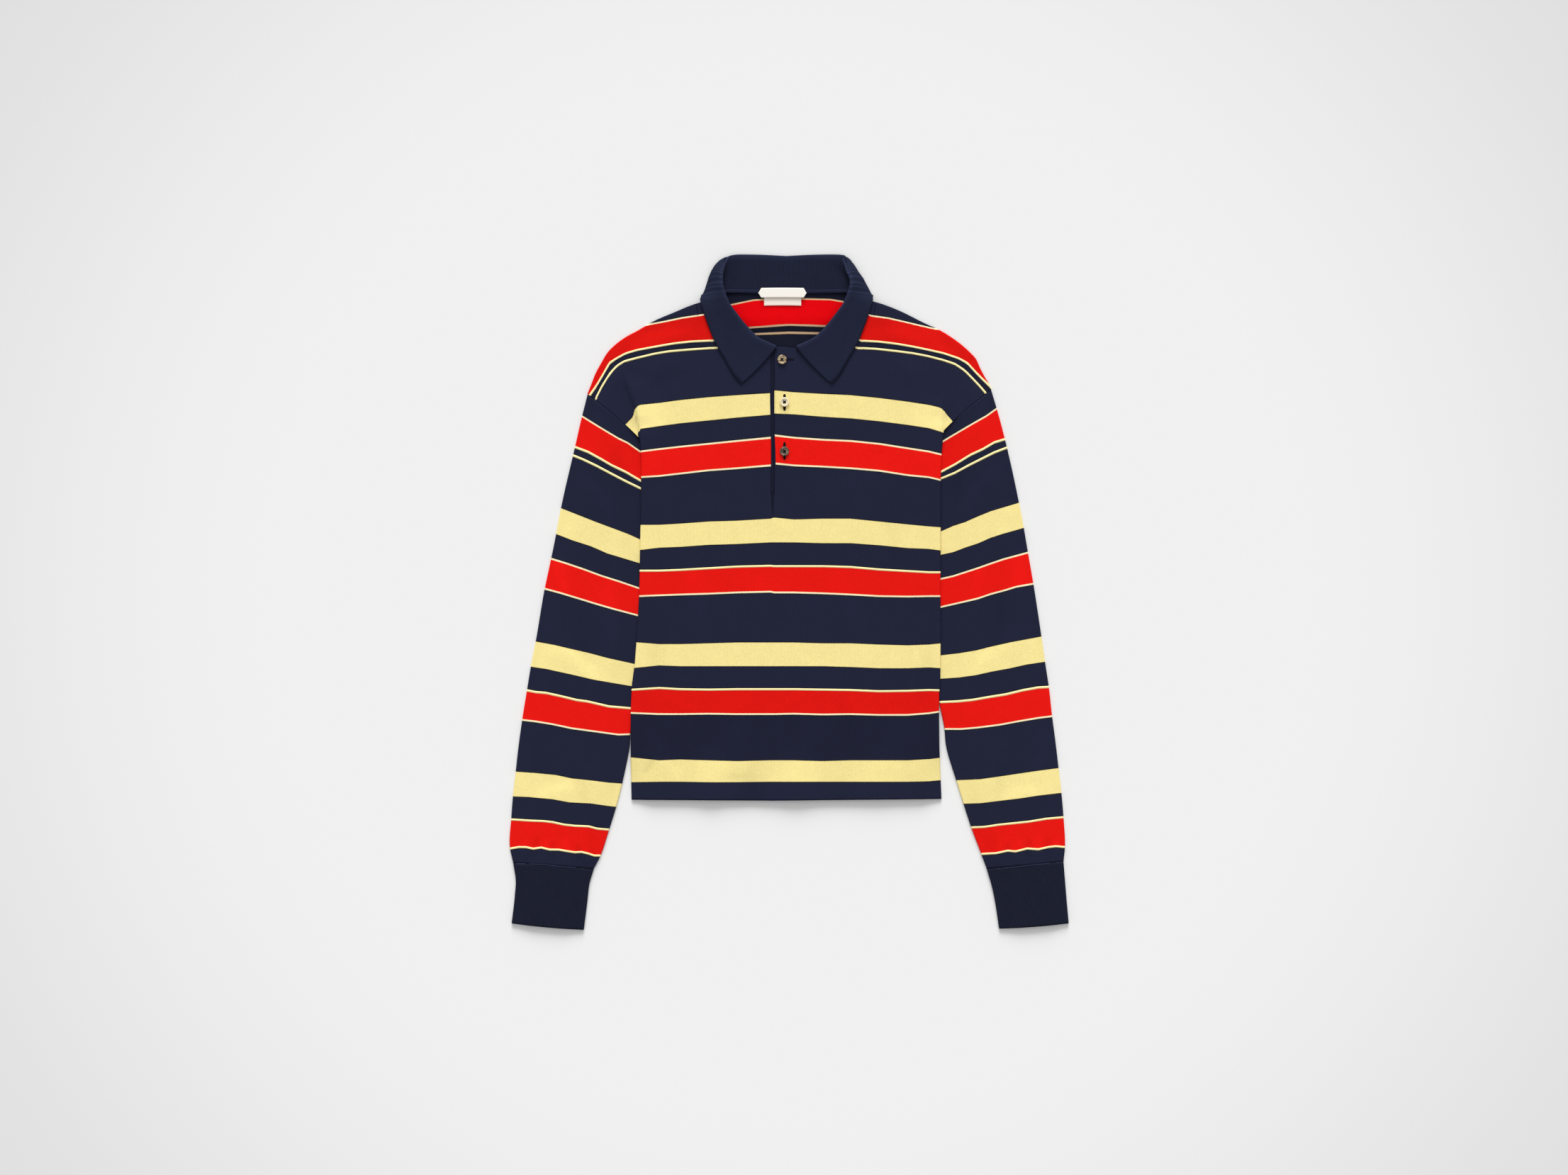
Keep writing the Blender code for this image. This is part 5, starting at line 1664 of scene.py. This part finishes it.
@dataclass(frozen=True)
class Collar:
    """The rib collar: stand, fold and fall as one strip, its ribs across the strip."""

    stations: int = 1100
    fine_steps: int = 400
    stand_steps: int = 9
    fold_steps: int = 9
    fall_steps: int = 14
    fold_radius: float = 1.1
    centre_x: float = 0.4
    depth: float = 0.06
    # inside and turn_light are painted shade on the stand's inner face and a painted highlight along
    # the fold
    inside: float = 0.8
    inside_start: float = 6.0
    inside_ramp: float = 9.0
    turn_light: float = 0.42
    turn_width: float = 3.0
    draw_start: float = 80.0
    draw_ramp: float = 26.0
    draw_rise_y: float = 372.0
    draw_rise: float = 1.1
    draw_nearest: float = 50.0
    link_start: int = 220
    link_from: float = 0.3
    link_to: float = 4.6
    link_steps: int = 6
    link_rise: float = 0.85
    link_crown: float = 0.25
    link_shade: float = 0.95
    link_wall: float = 0.3

    def strip(self) -> Array:
        """Places of the seam, fold, middle and edge, from one leaf round to the other."""
        knots = np.array(COLLAR)
        at = np.arange(len(knots), dtype=float)
        fine = hermite(knots, at, np.linspace(0.0, at[-1], self.fine_steps))
        mirrored = fine[-2::-1].copy()
        mirrored[:, 0::3] *= -1.0
        both = np.vstack([fine, mirrored])
        run = lengths(both[:, 3:6] * 0.5 + both[:, 9:12] * 0.5)
        even = np.linspace(0.0, run[-1], self.stations)
        return follow(both, run, even)

    def surface(self) -> tuple[Array, Array]:
        """Work out the middle of the rib wall.

        The stand goes straight from the seam to the fold, the fold is half a circle
        and the fall is the parabola through its middle place.

        Returns:
            Points, stations by places across the strip, and the length along the fold.
        """
        rows = self.strip()
        seam, fold, mid, edge = (rows[:, i:i + 3] for i in (0, 3, 6, 9))
        run = unit(np.gradient(fold, axis=0))
        stand = unit(fold - seam)
        tip = unit(stand - (stand * run).sum(1)[:, None] * run)
        outward = np.cross(tip, run)
        centre = fold - self.fold_radius * tip
        turns = np.linspace(0.0, np.pi, self.fold_steps)
        arc = [centre + self.fold_radius * (math.sin(turn) * tip - math.cos(turn) * outward)
               for turn in turns]
        rising = [seam + (arc[0] - seam) * t
                  for t in np.linspace(0.0, 1.0, self.stand_steps)[:-1]]
        start = arc[-1]
        control = 2.0 * mid - (start + edge) / 2.0
        fall = [(1 - t) ** 2 * start + 2 * t * (1 - t) * control + t * t * edge
                for t in np.linspace(0.0, 1.0, self.fall_steps)[1:]]
        points = np.stack([*rising, *arc, *fall], axis=1)
        points[..., 0] += self.centre_x
        self.draw_in(points)
        return points, lengths(fold)

    def draw_in(self, points: Array) -> None:
        """Draw the sides in by the tables: not at all up to a start, then more.

        Args:
            points: the collar's points, moved in place.
        """
        x, y = points[..., 0], points[..., 1]
        left = np.interp(y, *np.array(DRAWN_L).T)
        right = np.interp(y, *np.array(DRAWN_R).T)
        start = np.clip(self.draw_start - self.draw_rise * (y - self.draw_rise_y),
                        self.draw_nearest, self.draw_start)
        share = smooth((np.abs(x) - start) / self.draw_ramp)
        points[..., 0] = x - np.sign(x) * np.where(x < 0, left, right) * share

    def build(self) -> None:
        """Build and dress the collar and the linking band along its neck seam."""
        points, run = self.surface()
        ribs = round(run[-1] / COLLAR_RIB.pitch)
        along = np.linspace(0.0, ribs, self.stations)[:, None]
        down = np.linalg.norm(np.diff(points, axis=1), axis=2).cumsum(axis=1)
        down = np.hstack([np.zeros((len(points), 1)), down])
        past_fold = down - down[:, self.stand_steps + self.fold_steps // 2][:, None]
        # Painted shade on the stand's inner face and a painted highlight along the fold.
        shade = smooth((past_fold + self.inside_start) / self.inside_ramp)
        shade = self.inside + (1.0 - self.inside) * shade
        shade += self.turn_light * np.exp(-(past_fold / self.turn_width) ** 2)
        across = along * COLLAR_RIB.pitch
        sheet = Sheet(points, {"course": down, "across": across, "shade": shade})
        out = sheet.normals()
        sheet.points = points + out * (self.depth * np.cos(2 * np.pi * along))[..., None]
        collar = settle(add_piece("collar_shell", [sheet], COLLAR_RIB.material()),
                        "rib", "collar", wall=FORM.rib_wall, offset=0.0)
        self.link(points, out, across)

    def link(self, points: Array, out: Array, across: Array) -> None:
        """Build the raised band of linking above the neck seam, on the inner face.

        Args:
            points: the collar's points.
            out: the direction out of the wall at each of them.
            across: how far along the collar each station is.
        """
        part = slice(self.link_start, -self.link_start)
        inner = -1.0 if out[len(out) // 2, 0, 2] < 0 else 1.0
        steps = np.linspace(self.link_from, self.link_to, self.link_steps)
        rise = self.link_rise + self.link_crown * np.sin(np.linspace(0.0, np.pi, len(steps)))
        stand = unit(points[part, self.stand_steps - 1] - points[part, 0])
        band = (points[part, :1] + stand[:, None] * steps[:, None]
                + inner * out[part, :1] * rise[:, None])
        values = {"course": across[part], "across": across[part] + steps,
                  "shade": self.link_shade}
        settle(add_piece("neck_link", [Sheet(band, values, turned=inner < 0)],
                         COLLAR_RIB.material()), "rib", wall=self.link_wall)


# ------------------------ raised lines


@dataclass(frozen=True)
class Welts:
    """The raised cream lines of the jersey, each a flat strand on its panel."""

    strand: Strand = Strand(RAISED, 0.45, 0.25, step=0.75, sides=10)
    collar_edge: float = 90.0

    def lay(self, name: str, path: Array, out: Array,
            finish: Material) -> None:
        """Lay one strand along a path."""
        piece = add_piece("welt_" + name, [self.strand.sheet(path, out)], finish)
        settle(piece, "jersey")

    def build(self, front: FrontPanel, sleeves: dict[str, Sheet]) -> None:
        """Lay every raised line of the body, the shoulders and the sleeves.

        Args:
            front: the front panel, already built.
            sleeves: the upper side of each sleeve.
        """
        finish = WELT_YARN.material()
        for line in BODY_LINES:
            if line.yarn is not Yarn.GOLD or not line.width:
                continue
            left, right = (sheet.trace(BODY_FIELD.level(line.name)) for sheet in front.sheets)
            if line.name.startswith("yoke"):
                for side, (path, out) in (("l", left), ("r", right)):
                    shown = np.abs(path[:, 0]) > self.collar_edge
                    self.lay(f"{line.name}_{side}", path[shown], out[shown], finish)
            else:
                path = np.vstack([left[0], right[0][-2::-1]])
                out = np.vstack([left[1], right[1][-2::-1]])
                self.lay(line.name, path, out, finish)
        for name, sheet in sleeves.items():
            for line in SLEEVE_FIELDS[name].lines:
                if line.yarn is Yarn.GOLD and line.width:
                    path, out = sheet.trace(SLEEVE_FIELDS[name].level(line.name))
                    self.lay(f"sleeve_{name}_{line.name}", path, out, finish)


# ------------------------ placket, buttons, labels


@dataclass(frozen=True)
class Placket:
    """The strip behind the slit, which fills it almost to the front's face."""

    left: float = -33.0
    right: float = 11.0
    bottom: float = 78.0
    top: float = 296.0
    fill: float = 1.25
    open_right: float = 0.75
    open_left: float = 0.15
    slope: float = 0.4
    opened: float = 0.97
    shade: float = 0.8
    steps: tuple[int, int, int] = (12, 16, 110)

    def build(self) -> None:
        """Build the strip: level under the front, with a ridge up into the slit."""
        start = FORM.slit_x - FORM.slit_half + self.open_left
        end = FORM.slit_x + FORM.slit_half - self.open_right
        left, right, rows = self.steps
        x = np.concatenate([np.linspace(self.left, start, left),
                            [start + self.slope, end - self.slope],
                            np.linspace(end, self.right, right)])
        y = np.linspace(self.bottom, self.top, rows)
        plan = np.stack(np.meshgrid(x, y), axis=-1)
        in_slit = (x > start) & (x < end)
        opened = y - FORM.slit_end_y > self.opened * FORM.slit_taper
        z = (FORM.front_top(plan) - FORM.cloth - FORM.rest_gap
             + self.fill * opened[:, None] * in_slit)
        values = {"course": y[:, None], "across": x, "shade": self.shade}
        strip = settle(add_piece("placket_strip", [Sheet(np.dstack([plan, z]), values)],
                                 JerseyFinish("placket_jersey").material(StripeField((), 0.0))),
                       "jersey", "placket_under", wall=FORM.cloth)


@dataclass(frozen=True)
class Button:
    """A four-hole horn button sewn on with a cross of thread."""

    number: int
    x: float
    y: float
    hole_angle: float
    hole_centre: Point
    hole_half: float
    horn: HornFinish
    radius: float = 5.75
    dish: float = 1.75
    sides: int = 72
    pin_sides: int = 20
    thread_offset: float = 1.45
    thread_hole: float = 0.6
    thread_shown: float = 0.85
    thread_sink: float = 1.2
    thread_arch: float = 0.45
    thread_rise: float = 0.15
    hole_width: float = 1.1
    hole_squareness: float = 0.62
    hole_yarn: str = "brown"

    def profile(self) -> Array:
        """Half of its section, from the middle of the top round to the middle below.

        The dish is level, then rises in a quarter wave to a rounded rim; the side is
        a half round and the underside is level.
        """
        dish = np.array([(0.0, self.dish), (1.5, self.dish), (2.8, 1.78), (3.4, 1.85)])
        turn = np.linspace(0.0, np.pi / 2, 5)
        inner = np.column_stack([3.4 + 0.75 * np.sin(turn), 2.5 - 0.6 * np.cos(turn)])
        rim = np.column_stack([5.0 + 0.75 * np.sin(turn), 1.75 + 0.75 * np.cos(turn)])
        side = np.array([(5.75, 1.3), (5.6, 0.9), (5.2, 0.45), (4.5, 0.1), (3.6, 0.0), (0.0, 0.0)])
        return np.vstack([dish, inner[1:], rim, side])

    def build(self, thread: Material, hole_thread: Material) -> None:
        """Build the button, its cross of thread and its buttonhole.

        Args:
            thread: finish of the thread in its holes.
            hole_thread: finish of the buttonhole's stitching.
        """
        node = f"button_{self.number}"
        base = float(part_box(node)[0][2]) / MM
        profile = self.profile()
        turn = full_turn(self.sides)
        ring = lattice(self.x + profile[:, :1] * np.cos(turn),
                       self.y + profile[:, :1] * np.sin(turn), base + profile[:, 1:])
        shape = add_piece(f"horn_{self.number}", [Sheet(ring, closed=True, turned=True)],
                          self.horn.material((self.x, self.y), self.radius))
        self.drill(shape, base)
        settle(shape, "horn", node)
        self.sew(base, thread)
        self.buttonhole(hole_thread)

    def drill(self, shape: Object, base: float) -> None:
        """Cut the four thread holes and keep the result as the button's mesh."""
        turn = full_turn(self.pin_sides)
        wide = np.array([0.0, self.thread_hole, self.thread_hole, 0.0])[:, None]
        z = np.array([-1.0, -1.0, 4.0, 4.0])[:, None] + base
        steps = (-self.thread_offset, self.thread_offset)
        pins = [Sheet(lattice(self.x + dx + wide * np.cos(turn), self.y + dy + wide * np.sin(turn),
                              z), closed=True) for dx in steps for dy in steps]
        cutter = add_piece("pins", pins, shape.data.materials[0])
        cut = shape.modifiers.new("Holes", "BOOLEAN")
        cut.operation = "DIFFERENCE"
        cut.object = cutter
        shown = shape.evaluated_get(bpy.context.evaluated_depsgraph_get())
        drilled = bpy.data.meshes.new_from_object(shown)
        shape.modifiers.clear()
        shape.data = drilled
        drilled.shade_smooth()
        drilled.set_sharp_from_angle(angle=math.radians(40))
        bpy.data.objects.remove(cutter)

    def sew(self, base: float, finish: Material) -> None:
        """Two crossed strands that come up out of the holes and arch over the dish."""
        along = np.linspace(-1.0, 1.0, 13)
        arch = np.where(np.abs(along) > self.thread_shown, -self.thread_sink,
                        self.thread_arch * (1.0 - along**2) + self.thread_rise)
        sheets = []
        for lean, rise in ((1.0, 0.0), (-1.0, 0.25)):
            place = along * self.thread_offset
            path = np.column_stack([self.x + place, self.y + lean * place,
                                    base + self.dish + arch + rise * (1 - along**2)])
            sheets.append(Strand(1.5, 0.4, 0.35, step=0.3, ply=0.7).sheet(path))
        settle(add_piece(f"button_thread_{self.number}", sheets, finish), "horn")

    def buttonhole(self, finish: Material) -> None:
        """An oval of close stitching with the slit's dark line along its middle."""
        turn = np.linspace(0.0, 2 * np.pi, 61)
        long, short = (size * np.sign(wave) * np.abs(wave) ** self.hole_squareness
                       for size, wave in ((self.hole_half, np.cos(turn)),
                                          (self.hole_width, np.sin(turn))))
        angle = math.radians(self.hole_angle)
        loop = np.column_stack([
            self.hole_centre[0] + long * math.cos(angle) - short * math.sin(angle),
            self.hole_centre[1] + long * math.sin(angle) + short * math.cos(angle)])
        middle = (loop[:31] + loop[:29:-1]) / 2.0
        sheets = []
        for plan, strand, ring in (
                (loop, Strand(1.5, 0.35, 0.15, step=0.35, ply=0.55, twist=0.16), True),
                (middle, Strand(0.9, 0.12, 0.1, step=0.6), False)):
            z = FORM.front_top(plan) + relief(BODY_CREASES, plan)
            sheets.append(strand.sheet(np.column_stack([plan, z]), loop=ring))
        settle(add_piece(f"buttonhole_{self.number}", sheets, finish), "jersey")


BUTTONS = (
    Button(1, -5.0, 284.5, 0.0, (0.0, 284.5), 9.0,
           HornFinish("horn_brown", colour=dye(196, 176, 138), dark=dye(80, 50, 26),
                      clouds=0.5, rim=0.9), hole_yarn="navy"),
    Button(2, -2.0, 232.5, 90.0, (-2.0, 232.0), 9.6,
           HornFinish("horn_pale", colour=dye(243, 228, 190), dark=dye(120, 80, 40),
                      clouds=0.6, rim=0.1)),
    Button(3, -2.0, 172.0, 90.0, (-2.0, 172.5), 10.2,
           HornFinish("horn_dark", colour=dye(134, 112, 88), dark=dye(32, 24, 22),
                      clouds=0.44, rim=0.2)))


@dataclass(frozen=True)
class Label:
    """A blank woven label: a thin crowned plate with pointed or square ends."""

    name: str
    node: str
    centre: Point
    half_width: float
    half_height: float
    point: float
    z: float
    crown: float
    finish: SatinFinish
    wall: float = 0.45
    narrowest: float = 0.08
    lean: float = 0.35
    edge: float = 0.18
    end: float = 1.5
    bow: float = 0.12
    rows: int = 17
    columns: int = 81

    def build(self) -> None:
        """Build the label.

        Its rows shrink towards pointed ends, and its face is crowned a little across
        and bowed along, as folded ribbon is.
        """
        u = np.linspace(-1.0, 1.0, self.columns)
        v = np.linspace(-1.0, 1.0, self.rows)
        near_end = (1.0 - np.abs(u)) * self.half_width
        reach = np.clip(near_end / self.point, self.narrowest, 1.0) if self.point else 1.0
        x = self.centre[0] + u * self.half_width
        y = self.centre[1] + v[:, None] * reach * self.half_height + self.lean * (1.0 - u**2)
        edge = smooth((1.0 - np.abs(v)) / self.edge)[:, None] * smooth(near_end / self.end)
        z = self.z + self.crown * edge + self.bow * np.sin(3.1 * u + 0.6)
        piece = settle(add_piece(self.name, [Sheet(lattice(x, y, z))], self.finish.material()),
                       "satin", self.node, wall=self.wall)


LABELS = (Label("neck_label", "label", (-4.5, 366.0), 29.5, 6.0, 3.5, 6.5, 0.25, WHITE_SATIN),
          Label("neck_tab", "label_tab", (-4.25, 355.75), 22.75, 5.25, 0.0, 4.6, 0.2, TAB_SATIN))


# ------------------------ seams and stitches


@dataclass(frozen=True)
class Seams:
    """Fine seam threads on the shoulders and the linking stitches over the cuffs."""

    shoulder: tuple = (("l", pairs(-108.2, 338, -108.8, 346, -109.6, 353)),
                       ("r", pairs(107.4, 338, 108.6, 346, 109.6, 352)))
    cuff: tuple = (("l", pairs(-332, -333.2, -300, -334.2, -286, -335.6, -272.5, -337,
                               -258.5, -338.2, -239, -341)),
                   ("r", pairs(249, -340.6, 273, -338.2, 297.5, -335.2, 321, -333, 338, -331.4)))
    pitch: float = 1.5
    seam_offset: float = 0.3
    bead: tuple[float, float, float] = (0.6, 0.32, 0.28)
    bead_sink: float = 0.05
    waves: tuple = ((1.0, 0.29, 0.8), (0.8, 0.117, 2.0))
    sunk_below: float = -1.2

    def build(self, sleeves: dict[str, Sheet]) -> None:
        """Build every seam thread.

        Args:
            sleeves: the upper side of each sleeve.
        """
        dark = YarnFinish("seam_thread", colour=SEAM_THREAD, relief=0.04).material()
        light = YarnFinish("link_thread", colour=LINK_THREAD, relief=0.04).material()
        for side, knots in self.shoulder:
            plan = curve(knots, np.linspace(0.0, 1.0, 24))
            z = FORM.front_top(plan) + relief(BODY_CREASES, plan)
            strand = Strand(0.8, 0.22, 0.3, step=0.5, ply=0.9).sheet(np.column_stack([plan, z]))
            settle(add_piece("shoulder_seam_" + side, [strand], dark), "jersey")
        for side, knots in self.cuff:
            self.links(side, knots, sleeves[side], light)
            self.close(side, sleeves[side], dark)

    def close(self, side: str, sleeve: Sheet, finish: Material) -> None:
        """Fill the narrow gaps at a sleeve's two seams with a sunk dark thread.

        Args:
            side: l or r.
            sleeve: the sleeve's upper side, whose first and last rows are the seams.
            finish: the thread's finish.
        """
        sheets = []
        for row, before, sink in ((0, 1, 0.5), (-1, -2, 0.35)):
            line = sleeve.points[row]
            away = unit(line - sleeve.points[before])
            path = line + away * self.seam_offset - np.array([0.0, 0.0, sink])
            sheets.append(Strand(1.1, 0.3, 0.5, step=1.0, sides=8, ply=1.1).sheet(path))
        settle(add_piece("sleeve_seams_" + side, sheets, finish), "jersey")

    def links(self, side: str, knots: Sequence[Point], sleeve: Sheet,
              finish: Material) -> None:
        """Lay a row of linking stitches along a cuff seam.

        Each stitch is a small oval bead.  Every so often the row sinks out of sight
        for a few stitches, at places given by two slow waves.

        Args:
            side: l or r.
            knots: plan points of the seam.
            sleeve: the sleeve's upper side, which gives the height.
            finish: the thread's finish.
        """
        line = curve(knots, np.linspace(0.0, 1.0, 200))
        at = lengths(line)
        place = np.arange(self.pitch, at[-1], self.pitch)
        wave = sum(size * np.sin(place * pace + start) for size, pace, start in self.waves)
        place = place[wave > self.sunk_below]
        plan = follow(line, at, place)
        run = unit(follow(np.gradient(line, axis=0), at, place))
        last = sleeve.points[-1]
        order = np.argsort(last[:, 0])
        z = np.interp(plan[:, 0], last[order, 0], last[order, 2]) - self.bead_sink
        tilt = np.linspace(0.0, np.pi, 7)[:, None]
        turn = full_turn(8)
        x, y, up = (size * part for size, part in zip(self.bead, (
            np.cos(tilt), np.sin(tilt) * np.cos(turn), np.sin(tilt) * np.sin(turn))))
        sheets = [Sheet(lattice(px + rx * x - ry * y, py + ry * x + rx * y, pz + up),
                        {"course": 0.0, "across": 0.0}, closed=True)
                  for (px, py), (rx, ry), pz in zip(plan, run, z)]
        settle(add_piece("cuff_links_" + side, sheets, finish), "jersey")


# ------------------------ studio


@dataclass(frozen=True)
class Studio:
    """Pale floor, low soft light from above the collar, and a camera straight overhead."""

    middle: Point = (-2.6, 5.2)
    distance: float = 4.54
    lens: float = 85.0
    sensor: float = 36.0
    floor_half: float = 4.0
    floor_z: float = -0.05
    # painted shade: the grey falls from floor_grey to corner_grey between dim_from and dim_to
    floor_grey: float = 0.80
    corner_grey: float = 0.67
    dim_from: float = 0.62
    dim_to: float = 1.35
    sun_height: float = 22.0
    sun_spread: float = 30.0
    sun_strength: float = 3.7
    sky: float = 0.65

    def floor(self) -> None:
        """A wide level floor with painted shade: a little darker away from the middle."""
        size = self.floor_half / MM
        x = np.linspace(-size, size, 9)
        y = x[:, None]
        coat = Coat(Finish("floor", 0.95, 0.0))
        far = coat.node("VectorMath", {0: coat.place()}, "Value", operation="LENGTH")
        grey = coat.node("MapRange", {"Value": far, "From Min": self.dim_from,
                                      "From Max": self.dim_to, "To Min": self.floor_grey,
                                      "To Max": self.corner_grey},
                         interpolation_type="SMOOTHSTEP")
        sheet = Sheet(lattice(x, y, self.floor_z))
        add_piece("floor", [sheet], coat.dress((1.0, 1.0, 1.0), grey))

    def light(self) -> None:
        """A broad low sun from the collar's side and an even pale sky."""
        lamp = bpy.data.lights.new("key", "SUN")
        lamp.energy = self.sun_strength
        lamp.angle = math.radians(self.sun_spread)
        key = bpy.data.objects.new("key", lamp)
        key.rotation_euler = (math.radians(self.sun_height - 90.0), 0.0, 0.0)
        bpy.context.scene.collection.objects.link(key)
        world = bpy.data.worlds.new("sky")
        world.use_nodes = True
        shade = world.node_tree.nodes["Background"]
        shade.inputs["Color"].default_value = (1.0, 1.0, 1.0, 1.0)
        shade.inputs["Strength"].default_value = self.sky
        bpy.context.scene.world = world

    def camera(self) -> None:
        """The camera looks straight down with +Y up in its picture."""
        lens = bpy.data.cameras.new("overhead")
        lens.lens = self.lens
        lens.sensor_width = self.sensor
        eye = bpy.data.objects.new("overhead", lens)
        eye.location = (self.middle[0] * MM, self.middle[1] * MM, self.distance)
        bpy.context.scene.collection.objects.link(eye)
        bpy.context.scene.camera = eye
        bpy.context.scene.view_settings.view_transform = "Standard"

    def build(self) -> None:
        """Build the studio."""
        self.floor()
        self.light()
        self.camera()


# ------------------------ the shirt


def main() -> None:
    """Build the studio and every piece of the shirt."""
    logging.basicConfig(level=logging.INFO, format="%(name)s %(message)s")
    Studio().build()
    BackPanel().build()
    front = FrontPanel()
    front.build()
    sleeves = {}
    for half in (LEFT, RIGHT):
        sleeves[half.name] = Sleeve(half).build()
        Cuff(half).build()
    Collar().build()
    Welts().build(front, sleeves)
    Placket().build()
    thread = YarnFinish("button_thread", colour=BUTTON_THREAD, ply=0.7, relief=0.03).material()
    stitches = {yarn: YarnFinish("hole_thread_" + yarn, colour=colour, ply=0.55,
                                 relief=0.05).material()
                for yarn, colour in HOLE_THREADS.items()}
    for button in BUTTONS:
        button.build(thread, stitches[button.hole_yarn])
    for label in LABELS:
        label.build()
    Seams().build(sleeves)


if __name__ == "__main__":
    main()
